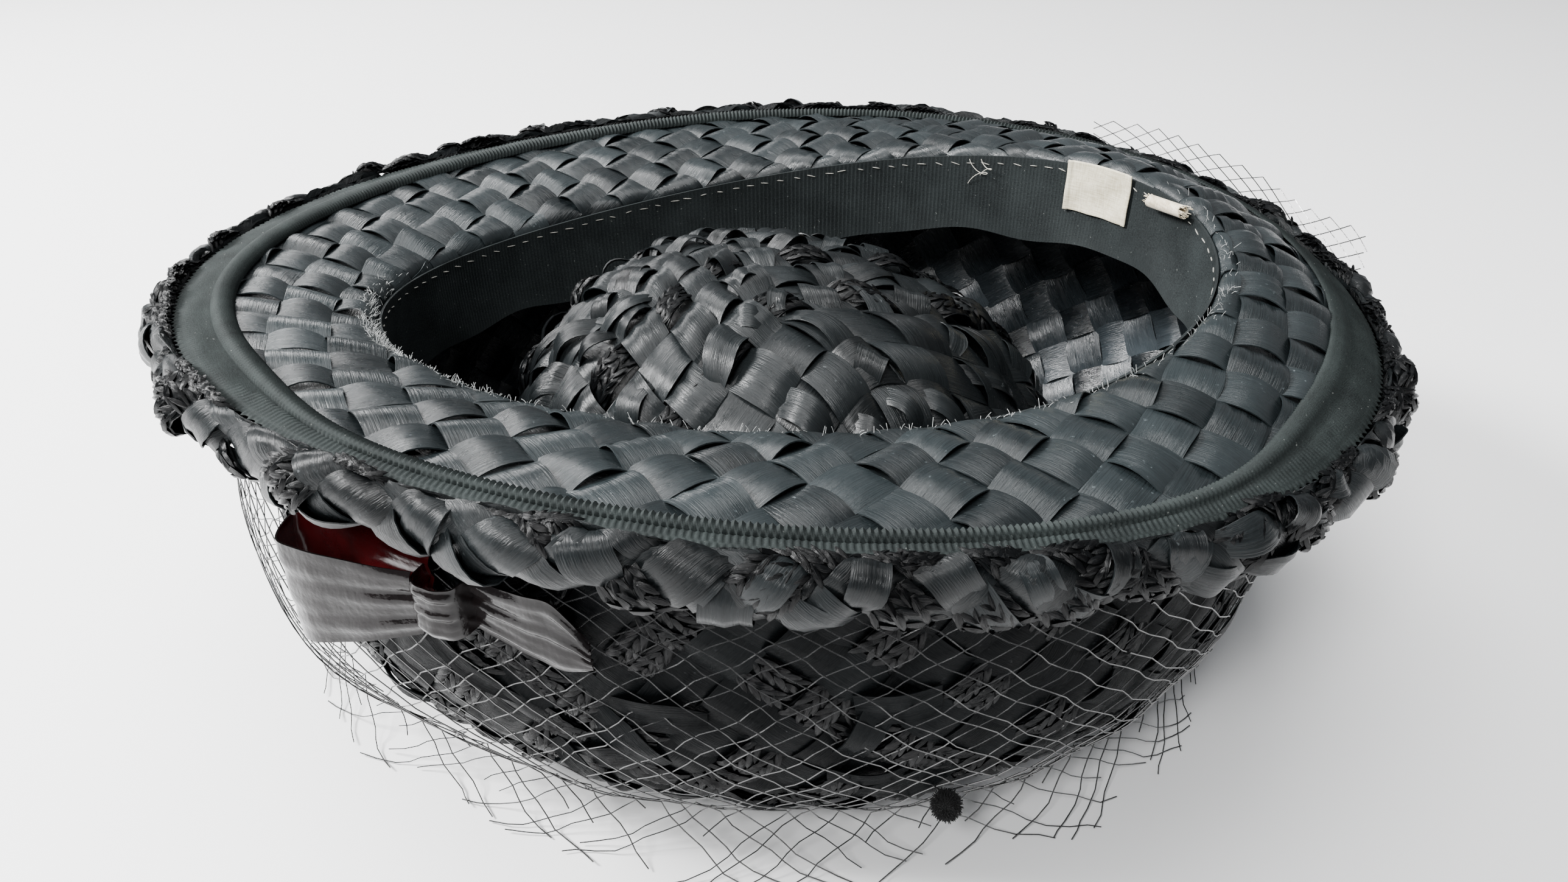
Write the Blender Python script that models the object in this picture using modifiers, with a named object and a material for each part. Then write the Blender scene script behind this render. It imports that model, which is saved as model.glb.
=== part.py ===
"""Oval pillbox hat of plaited raffia, lying on its pushed-in crown with the head opening upwards.

Units are metres, +Z is up and the origin is on the surface below the middle of the brim.
Angles run round the hat from +X towards +Y, and the side nearest the viewer is at -Y.
"""

import math
from collections import namedtuple

import bmesh
import bpy
from mathutils import Vector

MM = 0.001
GAP = 0.3 * MM  # between pieces that touch

# Head opening, an oval that is longer from left to right.
OPENING_LENGTH = 196.0 * MM
OPENING_WIDTH = 151.0 * MM
OPENING_X = 1.8 * MM
OPENING_Y = -6.7 * MM
OPENING_HEIGHT = 98.0 * MM

# Outer edge of the ribbon that binds the brim.
BOUND_LENGTH = 275.0 * MM
BOUND_WIDTH = 243.0 * MM
BOUND_HEIGHT = 95.0 * MM

# How far each ring rises and falls: towards +X, towards +Y, twice round, and twice round turned.
Sway = namedtuple("Sway", "tilt_x tilt_y saddle twist")
OPENING_SWAY = Sway(tilt_x=7.4 * MM, tilt_y=0.2 * MM, saddle=1.1 * MM, twist=4.0 * MM)
BOUND_SWAY = Sway(tilt_x=-5.6 * MM, tilt_y=0.0 * MM, saddle=-2.2 * MM, twist=3.8 * MM)

# Under-brim: the plaited facing between the opening and the bound edge.
FACING_WALL = 1.8 * MM
FACING_BULGE = 2.5 * MM
FACING_ROLL = 2.5 * MM  # radius of the fold into the opening
FACING_TURN_DOWN = 7.0 * MM
FACING_INSET = 1.5 * MM  # how far the facing stops short of the ribbon's outer edge

# Ribbon over a cord along the brim's edge.
RIBBON_WIDTH = 12.0 * MM
RIBBON_WALL = 1.0 * MM
CORD_RADIUS = 2.3 * MM

# Outer brim edge: the braid that rolls round the brim.
EDGE_REACH = 5.5 * MM
EDGE_DEPTH = 10.0 * MM
EDGE_WALL = 2.0 * MM
EDGE_WAVES = 20
EDGE_WAVE = 1.2 * MM
# The braid's folds from under the brim to the ribbon's edge, as shares of its reach, depth and waves.
EdgeFold = namedtuple("EdgeFold", "reach depth wave sag")
EDGE_FOLDS = (
    EdgeFold(reach=-0.62, depth=1.05, wave=0.0, sag=0.5),
    EdgeFold(reach=0.60, depth=0.90, wave=0.5, sag=1.0),
    EdgeFold(reach=0.82, depth=0.45, wave=1.0, sag=0.5),
    EdgeFold(reach=0.62, depth=-0.02, wave=1.0, sag=0.0),
)

# Crown: wall, foot and the pushed-in top.
CROWN_WALL = 2.0 * MM
CROWN_INSET = 10.5 * MM  # the wall's top, inside the ribbon's outer edge
WALL_SIDE_POWER = 1.8
WALL_DROP_POWER = 3.3
FOOT_LENGTH = 160.0 * MM
FOOT_WIDTH = 140.0 * MM
FOOT_LAND = 5.0 * MM
MOUND_HEIGHT = 90.0 * MM
MOUND_PEAK_X = -15.0 * MM
MOUND_PEAK_Y = 14.0 * MM
MOUND_SIDE_POWER = 2.6
MOUND_TOP_POWER = 2.8

# Dents in the wall and the mound. Heights and spreads are shares of its height, and depths of DENT_DEPTH.
DENT_DEPTH = 3.0 * MM
Dent = namedtuple("Dent", "place angle_deg width_deg height spread depth")
DENTS = (
    Dent("wall", 262.0, 16.0, 0.62, 0.22, 0.85),
    Dent("wall", 300.0, 14.0, 0.45, 0.25, -0.65),
    Dent("wall", 228.0, 13.0, 0.35, 0.25, -0.60),
    Dent("wall", 340.0, 18.0, 0.55, 0.25, 0.75),
    Dent("wall", 40.0, 20.0, 0.50, 0.25, -0.80),
    Dent("wall", 120.0, 22.0, 0.45, 0.25, 0.80),
    Dent("mound", 215.0, 24.0, 0.70, 0.22, 1.00),
    Dent("mound", 285.0, 22.0, 0.80, 0.20, -0.85),
    Dent("mound", 350.0, 26.0, 0.62, 0.24, 1.00),
    Dent("mound", 80.0, 30.0, 0.60, 0.26, -0.85),
)

# Sweatband: a ribbon inside the opening.
BAND_HEIGHT = 22.0 * MM
BAND_WALL = 1.0 * MM
BAND_BELOW_RIM = 1.6 * MM
BAND_LEAN = 2.2 * MM
BAND_FLARES = 3
BAND_FLARE = 0.4  # how uneven the lean is

# Tags sewn to the sweatband.
LABEL_ANGLE = 32.5
LABEL_WIDTH = 21.0 * MM
LABEL_HEIGHT = 13.5 * MM
LABEL_WALL = 0.8 * MM
LABEL_DROP = -1.2 * MM
TAG_ANGLE = 13.0
TAG_LENGTH = 14.0 * MM
TAG_RADIUS = 1.6 * MM
TAG_TILT = 8.0
TAG_DROP = 0.5 * MM
TAG_CLEAR = 0.9 * MM

# Bow of glossy ribbon on the crown's wall, under the brim.
BOW_WIDTH = 23.0 * MM
BOW_WALL = 1.0 * MM
BOW_HEIGHT = 73.0 * MM
KNOT_ANGLE = 241.5
KNOT_WIDTH = 11.0 * MM
KNOT_DEPTH = 6.5 * MM
LOOP_ANGLE = 225.5
LOOP_DEPTH = 12.0 * MM
LOOP_DROP = 3.5 * MM
TAIL_ANGLE = 254.0
TAIL_DEPTH = 2.2 * MM
TAIL_DROP = 7.0 * MM
# Ribbon stations: the turn from the knot, and the depth, drop and width, as shares of the sizes above.
Station = namedtuple("Station", "turn depth drop width")
LOOP_STATIONS = (
    Station(turn=0.00, depth=0.00, drop=0.00, width=0.62),
    Station(turn=0.42, depth=0.00, drop=0.40, width=0.86),
    Station(turn=0.80, depth=0.05, drop=0.85, width=1.00),
    Station(turn=1.00, depth=0.32, drop=1.00, width=1.00),
    Station(turn=0.93, depth=0.72, drop=1.00, width=1.00),
    Station(turn=0.77, depth=1.00, drop=0.85, width=1.00),
    Station(turn=0.42, depth=0.80, drop=0.40, width=0.86),
    Station(turn=0.00, depth=0.42, drop=0.00, width=0.62),
)
KNOT_STATIONS = (
    Station(turn=-1.0, depth=0.0, drop=0.0, width=0.5),
    Station(turn=-0.8, depth=0.8, drop=0.0, width=0.5),
    Station(turn=0.0, depth=1.0, drop=0.0, width=0.5),
    Station(turn=0.8, depth=0.8, drop=0.0, width=0.5),
    Station(turn=1.0, depth=0.0, drop=0.0, width=0.5),
)
TAIL_STATIONS = (
    Station(turn=0.00, depth=0.25, drop=0.00, width=0.50),
    Station(turn=0.42, depth=0.70, drop=0.30, width=0.62),
    Station(turn=0.75, depth=0.90, drop=0.50, width=0.72),
    Station(turn=1.00, depth=1.00, drop=1.00, width=0.30),
)

# Veil: net that hangs round the wall and spreads on the surface at the front.
NET_COLUMNS = 20
NET_ROWS = 5
NET_BAR = 1.2 * MM
NET_BELOW_EDGE = 1.5 * MM  # from the outer braid down to the net's top bars
NET_CLEAR = 0.9 * MM  # between the wall and the net's bars
NET_SKIRT = 7.0 * MM
NET_SKIRT_FRONT = 14.0 * MM
NET_PUFF = 2.0 * MM
NET_HEM = 9.0 * MM  # where the net leaves the wall, above the surface
NET_LIES_FROM = 0.74  # share of the net's rows that hang on the wall
NET_STEEPNESS = 1.4  # how soon the skirt meets the surface
DOT_RADIUS = 3.6 * MM
DOT_ANGLE = 285.0
DOT_HEIGHT = 20.0 * MM

AROUND = 40
EDGE_AROUND = 4 * EDGE_WAVES

# Colour, roughness and metallic value of each finish.
Finish = namedtuple("Finish", "colour roughness metallic")
FINISHES = {
    "raffia": Finish((0.022, 0.025, 0.026), 0.42, 0.0),
    "facing_raffia": Finish((0.030, 0.035, 0.036), 0.45, 0.0),
    "braid": Finish((0.015, 0.015, 0.016), 0.38, 0.0),
    "grosgrain": Finish((0.020, 0.025, 0.025), 0.75, 0.0),
    "label_cloth": Finish((0.72, 0.66, 0.50), 0.60, 0.0),
    "patent_ribbon": Finish((0.012, 0.010, 0.010), 0.18, 0.0),
    "net": Finish((0.010, 0.010, 0.010), 0.50, 0.0),
}


class Ring:
    """An oval line round the hat whose height sways."""

    def __init__(self, length, width, centre_x, centre_y, height, sway):
        self.half_x = length / 2
        self.half_y = width / 2
        self.centre = Vector((centre_x, centre_y, 0))
        self.height = height
        self.sway = sway

    def out(self, angle):
        return Vector((math.cos(angle) / self.half_x, math.sin(angle) / self.half_y, 0)).normalized()

    def at(self, angle, out=0.0, up=0.0):
        sway = self.sway
        rise = sway.tilt_x * math.cos(angle) + sway.tilt_y * math.sin(angle)
        rise += sway.saddle * math.cos(2 * angle) + sway.twist * math.sin(2 * angle)
        place = Vector((self.half_x * math.cos(angle), self.half_y * math.sin(angle), 0))
        return self.centre + place + self.out(angle) * out + Vector((0, 0, self.height + rise + up))


FLAT = Sway(0, 0, 0, 0)
OPENING = Ring(OPENING_LENGTH, OPENING_WIDTH, OPENING_X, OPENING_Y, OPENING_HEIGHT, OPENING_SWAY)
BOUND = Ring(BOUND_LENGTH, BOUND_WIDTH, 0, 0, BOUND_HEIGHT, BOUND_SWAY)
FOOT = Ring(FOOT_LENGTH, FOOT_WIDTH, 0, 0, 0, FLAT)
FOOT_INNER = Ring(FOOT_LENGTH - 2 * FOOT_LAND, FOOT_WIDTH - 2 * FOOT_LAND, 0, 0, 0, FLAT)


def clear_scene():
    for obj in list(bpy.data.objects):
        bpy.data.objects.remove(obj, do_unlink=True)


def new_collection(name):
    made = bpy.data.collections.new(name)
    bpy.context.scene.collection.children.link(made)
    return made


def material(name):
    """The Principled material of a finish, made once."""
    found = bpy.data.materials.get(name)
    if found:
        return found
    finish = FINISHES[name]
    made = bpy.data.materials.new(name)
    made.use_nodes = True
    shader = made.node_tree.nodes["Principled BSDF"]
    shader.inputs["Base Color"].default_value = (*finish.colour, 1.0)
    shader.inputs["Roughness"].default_value = finish.roughness
    shader.inputs["Metallic"].default_value = finish.metallic
    made.diffuse_color = (*finish.colour, 1.0)
    return made


def finish_object(mesh, name, collection, finish, sharp_deg=40.0):
    """Link a mesh as a named object with its finish and smooth shading."""
    mesh.materials.append(material(finish))
    mesh.shade_smooth()
    mesh.set_sharp_from_angle(angle=math.radians(sharp_deg))
    obj = bpy.data.objects.new(name, mesh)
    collection.objects.link(obj)
    return obj


def mesh_of(name, points, faces):
    """A mesh from points and faces, with its normals made consistent."""
    mesh = bpy.data.meshes.new(name)
    mesh.from_pydata([tuple(p) for p in points], [], faces)
    shape = bmesh.new()
    shape.from_mesh(mesh)
    bmesh.ops.recalc_face_normals(shape, faces=shape.faces)
    shape.to_mesh(mesh)
    shape.free()
    return mesh


def loft_round(name, section, steps):
    """A closed band that joins the closed loops of points section(angle) all the way round."""
    loops = [section(2 * math.pi * i / steps) for i in range(steps)]
    count = len(loops[0])
    points = [p for loop in loops for p in loop]
    faces = []
    for i in range(steps):
        for j in range(count):
            k = (j + 1) % count
            n = (i + 1) % steps
            faces.append((i * count + j, n * count + j, n * count + k, i * count + k))
    return mesh_of(name, points, faces)


def loft_sheet(name, lines):
    """An open sheet from a list of lines with the same number of points."""
    count = len(lines[0])
    points = [p for line in lines for p in line]
    faces = []
    for i in range(len(lines) - 1):
        for j in range(count - 1):
            a = i * count + j
            faces.append((a, a + count, a + count + 1, a + 1))
    return mesh_of(name, points, faces)


def add_solidify(obj, thickness, offset):
    """Turn an open sheet into a wall."""
    wall = obj.modifiers.new("wall", "SOLIDIFY")
    wall.thickness = thickness
    wall.offset = offset
    wall.use_even_offset = True
    return wall


def thick_loop(line, wall):
    """The closed loop round a line of (out, up) pairs that is wall thick, to both sides of the line."""
    sides = ([], [])
    last = len(line) - 1
    for i, (out, up) in enumerate(line):
        before = line[max(i - 1, 0)]
        after = line[min(i + 1, last)]
        along = Vector((after[0] - before[0], after[1] - before[1])).normalized()
        across = Vector((-along.y, along.x)) * wall / 2
        sides[0].append((out + across.x, up + across.y))
        sides[1].append((out - across.x, up - across.y))
    return sides[0] + sides[1][::-1]


def facing_width(angle):
    """Plan distance from the opening to the ribbon's outer edge."""
    step = BOUND.at(angle) - OPENING.at(angle)
    return Vector((step.x, step.y)).length


def facing_point(angle, inset, up=0.0):
    """A point on the facing's upper face, inset from the ribbon's outer edge."""
    share = 1 - inset / facing_width(angle)
    place = OPENING.at(angle).lerp(BOUND.at(angle), share)
    place.z += FACING_BULGE * math.sin(math.pi * min(max(share, 0), 1)) + up
    return place


def make_under_brim(collection):
    """The plaited facing, folded down into the opening."""
    spans = 4

    def section(angle):
        flat = facing_width(angle) - FACING_ROLL - RIBBON_WIDTH
        insets = [FACING_INSET] + [RIBBON_WIDTH + flat * i / spans for i in range(spans + 1)]
        upper = [facing_point(angle, inset) for inset in insets]
        lower = [facing_point(angle, inset, -FACING_WALL) for inset in insets]
        lip = FACING_ROLL * (1 - math.sqrt(0.5))
        fold = [
            OPENING.at(angle, lip, -lip),
            OPENING.at(angle, 0, -FACING_ROLL),
            OPENING.at(angle, 0, -FACING_TURN_DOWN),
            OPENING.at(angle, FACING_WALL, -FACING_TURN_DOWN),
            OPENING.at(angle, FACING_WALL, -FACING_ROLL),
        ]
        return upper + fold + lower[::-1]

    mesh = loft_round("under_brim", section, AROUND)
    return finish_object(mesh, "under_brim", collection, "facing_raffia")


def make_edge_ribbon(collection):
    """The ribbed ribbon that lies on the facing's edge and covers a cord."""
    cord_from_edge = RIBBON_WIDTH - CORD_RADIUS
    hump_steps = 4

    def section(angle):
        under = [facing_point(angle, RIBBON_WIDTH, GAP), facing_point(angle, FACING_INSET, GAP)]
        edge = [facing_point(angle, 0, GAP), facing_point(angle, 0, GAP + RIBBON_WALL)]
        hump = []
        for i in range(hump_steps + 1):
            turn = math.pi * i / hump_steps
            inset = cord_from_edge - CORD_RADIUS * math.cos(turn)
            hump.append(facing_point(angle, inset, GAP + RIBBON_WALL + CORD_RADIUS * math.sin(turn)))
        return (under + edge + hump)[::-1]  # the same turn as the facing, so that both split alike

    mesh = loft_round("edge_ribbon", section, AROUND)
    return finish_object(mesh, "edge_ribbon", collection, "grosgrain")


def make_brim_edge(collection):
    """The braid that starts at the crown's wall, passes under the brim and rolls up round its edge."""

    def section(angle):
        wave = EDGE_WAVE * math.cos(EDGE_WAVES * angle)
        sag = EDGE_WAVE * math.sin(EDGE_WAVES * angle)
        low = -EDGE_DEPTH + EDGE_WALL / 2
        folds = [(EDGE_REACH * f.reach + wave * f.wave, low * f.depth + sag * f.sag) for f in EDGE_FOLDS]
        line = [(GAP - CROWN_INSET, low), *folds, (GAP + EDGE_WALL / 2, RIBBON_WALL)]
        return [BOUND.at(angle, out, up) for out, up in thick_loop(line, EDGE_WALL)]

    mesh = loft_round("brim_edge", section, EDGE_AROUND)
    return finish_object(mesh, "brim_edge", collection, "braid", 50.0)


def dent_at(place, angle, height):
    """How far the dents push the wall or the mound in at an angle and a share of its height."""
    total = 0.0
    for dent in DENTS:
        if dent.place != place:
            continue
        turn = math.degrees(angle) - dent.angle_deg
        turn = (turn + 180) % 360 - 180
        near = (turn / dent.width_deg) ** 2 + ((height - dent.height) / dent.spread) ** 2
        total += dent.depth * DENT_DEPTH * math.exp(-near)
    return total


def wall_top(angle):
    """Upper end of the crown's outer face, just under the facing."""
    place = BOUND.at(angle, -CROWN_INSET)
    place.z = facing_point(angle, CROWN_INSET).z - FACING_WALL - 2 * GAP
    return place


def wall_point(angle, height, off=0.0):
    """A point on the crown's outer wall at a height above the surface, or off it."""
    top = wall_top(angle)
    foot = FOOT.at(angle)
    drop = min(max(1 - height / top.z, 0), 1)
    side = (1 - drop**WALL_DROP_POWER) ** (1 / WALL_SIDE_POWER)
    place = foot.lerp(top, side)
    push = off - dent_at("wall", angle, 1 - drop) * math.sin(math.pi * drop)
    place += BOUND.out(angle) * push
    place.z = height
    return place


def crown_line(angle):
    """One meridian of the crown's outer face: down the wall, across the foot and up the mound."""
    wall_steps, mound_steps = 7, 8
    line = []
    top = wall_top(angle)
    for i in range(wall_steps):
        turn = math.pi / 2 * i / wall_steps
        line.append(wall_point(angle, top.z * (1 - math.sin(turn))))
    line.append(FOOT.at(angle))
    line.append(FOOT_INNER.at(angle))
    peak = Vector((MOUND_PEAK_X, MOUND_PEAK_Y, 0))
    for i in range(1, mound_steps):
        turn = math.pi / 2 * i / mound_steps
        side = math.cos(turn) ** (2 / MOUND_SIDE_POWER)
        rise = math.sin(turn) ** (2 / MOUND_TOP_POWER)
        place = peak.lerp(FOOT_INNER.at(angle), side)
        place.z = MOUND_HEIGHT * rise - dent_at("mound", angle, rise) * math.sin(2 * turn)
        line.append(place)
    return line


def make_crown(collection):
    """The bowl-shaped crown with its top pushed in, as one woven wall."""
    lines = [crown_line(2 * math.pi * i / AROUND) for i in range(AROUND)]
    count = len(lines[0])
    points = [p for line in lines for p in line]
    points.append(Vector((MOUND_PEAK_X, MOUND_PEAK_Y, MOUND_HEIGHT)))
    peak = len(points) - 1
    faces = []
    for i in range(AROUND):
        n = (i + 1) % AROUND
        for j in range(count - 1):
            faces.append((i * count + j, i * count + j + 1, n * count + j + 1, n * count + j))
        faces.append((i * count + count - 1, peak, n * count + count - 1))
    mesh = bpy.data.meshes.new("crown")
    mesh.from_pydata([tuple(p) for p in points], [], faces)
    crown = finish_object(mesh, "crown", collection, "raffia")
    add_solidify(crown, CROWN_WALL, -1.0)
    return crown


def band_lean(angle, depth):
    """How far the sweatband leans into the opening at a share of its height below the rim."""
    flare = 1 - BAND_FLARE + BAND_FLARE * math.cos(BAND_FLARES * angle)
    return BAND_LEAN * flare * depth * depth


def band_point(angle, depth, off=0.0):
    """A point on the sweatband's inner face, or off it towards the middle."""
    inward = GAP + BAND_WALL + band_lean(angle, depth) + off
    return OPENING.at(angle, -inward, -BAND_BELOW_RIM - BAND_HEIGHT * depth)


def make_sweatband(collection):
    """The ribbon sewn inside the opening."""
    spans = 3

    def section(angle):
        inner = [band_point(angle, i / spans) for i in range(spans + 1)]
        outer = [band_point(angle, i / spans, -BAND_WALL) for i in range(spans + 1)]
        return inner + outer[::-1]

    mesh = loft_round("sweatband", section, AROUND)
    return finish_object(mesh, "sweatband", collection, "grosgrain")


def angle_along(ring, start_deg, distance):
    """The angle that lies a distance round a ring from a starting angle."""
    angle = math.radians(start_deg)
    steps = 24
    for _ in range(steps):
        speed = math.hypot(ring.half_x * math.sin(angle), ring.half_y * math.cos(angle))
        angle += distance / steps / speed
    return angle


def make_label(collection):
    """The blank cloth label on the sweatband."""
    spans = 4
    drop = LABEL_DROP / BAND_HEIGHT
    depth = LABEL_HEIGHT / BAND_HEIGHT
    clear = GAP + LABEL_WALL / 2
    lines = []
    for i in range(spans + 1):
        angle = angle_along(OPENING, LABEL_ANGLE, LABEL_WIDTH * (i / spans - 0.5))
        lines.append([band_point(angle, drop + depth * j / 2, clear) for j in range(3)])
    label = finish_object(loft_sheet("label", lines), "label", collection, "label_cloth")
    add_solidify(label, LABEL_WALL, 0.0)
    return label


def make_size_tag(collection):
    """The small tag beside the label, curled into a roll."""
    bpy.ops.mesh.primitive_cylinder_add(vertices=10, radius=TAG_RADIUS, depth=TAG_LENGTH)
    tag = bpy.context.object
    tag.name = "size_tag"
    angle = math.radians(TAG_ANGLE)
    middle = band_point(angle, TAG_DROP / BAND_HEIGHT)
    inward = -OPENING.out(angle)
    along = Vector((0, 0, 1)).cross(inward)
    axis = along * math.cos(math.radians(TAG_TILT)) + Vector((0, 0, 1)) * math.sin(math.radians(TAG_TILT))
    tag.location = middle + inward * (TAG_RADIUS + TAG_CLEAR)
    tag.rotation_mode = "QUATERNION"
    tag.rotation_quaternion = axis.to_track_quat("Z", "Y")
    for held in list(tag.users_collection):
        held.objects.unlink(tag)
    collection.objects.link(tag)
    tag.data.materials.append(material("label_cloth"))
    tag.data.shade_smooth()
    tag.data.set_sharp_from_angle(angle=math.radians(40.0))
    return tag


def ribbon_piece(name, stations, start_deg, reach_deg, depth, drop, collection):
    """A ribbon laid through its stations on the wall, from a starting angle over a reach."""
    rows = 3
    near = NET_CLEAR + NET_BAR + BOW_WALL / 2
    lines = []
    for station in stations:
        angle = math.radians(start_deg + reach_deg * station.turn)
        middle = BOW_HEIGHT - drop * station.drop
        width = BOW_WIDTH * station.width
        levels = [middle + width * (i / rows - 0.5) for i in range(rows + 1)]
        lines.append([wall_point(angle, level, near + depth * station.depth) for level in levels])
    piece = finish_object(loft_sheet(name, lines), name, collection, "patent_ribbon", 50.0)
    add_solidify(piece, BOW_WALL, 0.0)
    return piece


def make_bow(collection):
    """The loop, the knot and the pointed tail of the bow."""
    half = math.degrees(KNOT_WIDTH / 2 / BOUND.half_x)
    side = half + math.degrees((BOW_WALL + 2 * GAP) / BOUND.half_x)
    loop_start = KNOT_ANGLE - side
    tail_start = KNOT_ANGLE + side
    ribbon_piece("bow_knot", KNOT_STATIONS, KNOT_ANGLE, half, KNOT_DEPTH, 0.0, collection)
    ribbon_piece(
        "bow_loop", LOOP_STATIONS, loop_start, LOOP_ANGLE - loop_start, LOOP_DEPTH, LOOP_DROP, collection
    )
    ribbon_piece(
        "bow_tail", TAIL_STATIONS, tail_start, TAIL_ANGLE - tail_start, TAIL_DEPTH, TAIL_DROP, collection
    )


def front_share(angle):
    """1 at the front of the hat, falling to 0 at its sides."""
    return max(0.0, -math.sin(angle)) ** 2


def net_point(angle, share):
    """A knot of the net, from share 0 on the wall under the brim to share 1 furthest out on the surface."""
    middle = NET_CLEAR + NET_BAR / 2
    lowest = GAP + NET_BAR / 2
    hem = lowest + NET_HEM
    if share <= NET_LIES_FROM:
        fall = share / NET_LIES_FROM
        puff = NET_PUFF * math.sin(math.pi / 2 * max(0.0, 2 * fall - 1)) ** 2
        top = BOUND.at(angle).z - EDGE_DEPTH - 2 * EDGE_WAVE - NET_BELOW_EDGE - NET_BAR / 2
        return wall_point(angle, top + (hem - top) * fall, middle + puff)
    spread = (share - NET_LIES_FROM) / (1 - NET_LIES_FROM)
    skirt = NET_SKIRT + (NET_SKIRT_FRONT - NET_SKIRT) * front_share(angle)
    place = wall_point(angle, hem, middle + NET_PUFF) + BOUND.out(angle) * skirt * spread
    place.z = max(lowest, hem * (1 - NET_STEEPNESS * spread))
    return place


def make_veil(collection):
    """The net, as one lattice of bars with a gap in every mesh."""
    rows = NET_ROWS + 2
    points = []
    for j in range(rows):
        for i in range(NET_COLUMNS):
            angle = 2 * math.pi * (i + 0.5 * (j % 2)) / NET_COLUMNS
            points.append(net_point(angle, j / (rows - 1)))
    faces = []
    for j in range(rows - 2):
        for i in range(NET_COLUMNS):
            right = (i + j % 2) % NET_COLUMNS
            left = (right - 1) % NET_COLUMNS
            top = j * NET_COLUMNS + i
            faces.append(
                (
                    top,
                    (j + 1) * NET_COLUMNS + left,
                    (j + 2) * NET_COLUMNS + i,
                    (j + 1) * NET_COLUMNS + right,
                )
            )
    veil = finish_object(mesh_of("veil", points, faces), "veil", collection, "net", 60.0)
    bars = veil.modifiers.new("bars", "WIREFRAME")
    bars.thickness = NET_BAR
    bars.use_even_offset = True
    bars.use_boundary = True
    bars.use_replace = True
    return veil


def make_veil_dot(collection):
    """The chenille dot that is tied into the net."""
    angle = math.radians(DOT_ANGLE)
    bpy.ops.mesh.primitive_uv_sphere_add(segments=12, ring_count=8, radius=DOT_RADIUS)
    dot = bpy.context.object
    dot.name = "veil_dot"
    dot.location = wall_point(angle, DOT_HEIGHT, NET_CLEAR + NET_PUFF + NET_BAR / 2 + DOT_RADIUS)
    for held in list(dot.users_collection):
        held.objects.unlink(dot)
    collection.objects.link(dot)
    dot.data.materials.append(material("net"))
    dot.data.shade_smooth()
    return dot


def main():
    clear_scene()
    hat = new_collection("pillbox_hat")
    make_crown(hat)
    make_under_brim(hat)
    make_edge_ribbon(hat)
    make_brim_edge(hat)
    make_sweatband(hat)
    make_label(hat)
    make_size_tag(hat)
    make_bow(hat)
    make_veil(hat)
    make_veil_dot(hat)


main()
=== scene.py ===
"""Looks of an oval plaited raffia hat that lies on its pushed-in crown.

Lengths are millimetres in the forms below and metres in the meshes. +Z is up, the viewer is at -Y, and
angles run round the hat from +X towards +Y.
"""

import logging
import math
from collections.abc import Callable
from dataclasses import dataclass
from enum import Enum

import bpy
import numpy as np
from mathutils import Matrix, Vector

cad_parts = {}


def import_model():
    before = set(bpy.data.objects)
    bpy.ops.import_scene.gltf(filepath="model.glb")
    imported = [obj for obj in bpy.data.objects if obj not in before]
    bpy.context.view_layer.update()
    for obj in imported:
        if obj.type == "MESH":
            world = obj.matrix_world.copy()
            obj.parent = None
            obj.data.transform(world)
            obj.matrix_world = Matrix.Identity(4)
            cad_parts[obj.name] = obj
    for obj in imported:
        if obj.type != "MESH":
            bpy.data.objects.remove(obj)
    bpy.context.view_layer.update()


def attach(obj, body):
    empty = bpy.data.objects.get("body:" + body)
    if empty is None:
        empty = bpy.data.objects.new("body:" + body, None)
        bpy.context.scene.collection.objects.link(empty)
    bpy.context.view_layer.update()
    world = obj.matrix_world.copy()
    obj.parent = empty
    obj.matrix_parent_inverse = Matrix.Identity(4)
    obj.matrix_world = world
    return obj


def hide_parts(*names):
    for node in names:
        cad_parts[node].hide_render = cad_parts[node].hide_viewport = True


LOG = logging.getLogger("hat")
MM = 0.001
TURN = 2.0 * math.pi
GOLDEN_TURN = 2.399963
Array = np.ndarray
Colour = tuple[float, float, float]
Place = tuple[float, float, float]
Socket = bpy.types.NodeSocket
Lay = Callable[[Array, Array], tuple[Array, Array]]
Section = list[tuple[Array, float]]
MIX_A, MIX_B, MIX_RESULT = 6, 7, 2


class Strand(Enum):
    """Which way a strip of the plait runs on its mat."""

    WARP = 0
    WEFT = 1


class Slot(Enum):
    """Names of material slots."""

    RAFFIA = "raffia"
    FACING = "facing_raffia"
    BRAID = "braid"
    EDGE = "edge_grosgrain"
    BAND = "band_grosgrain"
    LABEL = "label_cloth"
    TAG = "tag_cloth"
    BOW = "bow_ribbon"
    NET = "net"
    CHENILLE = "chenille"


def chance(*keys: Array | float) -> Array:
    """A repeatable number from 0 to 1 for each set of keys.

    Args:
        keys: Whole numbers or arrays of them, which may be broadcast together.

    Returns:
        An array of the broadcast shape.
    """
    total = 0.0
    for key, weight in zip(keys, (12.9898, 78.233, 37.719, 93.989)):
        total = total + np.asarray(key, float) * weight
    value = np.sin(total) * 43758.5453
    return value - np.floor(value)


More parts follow.
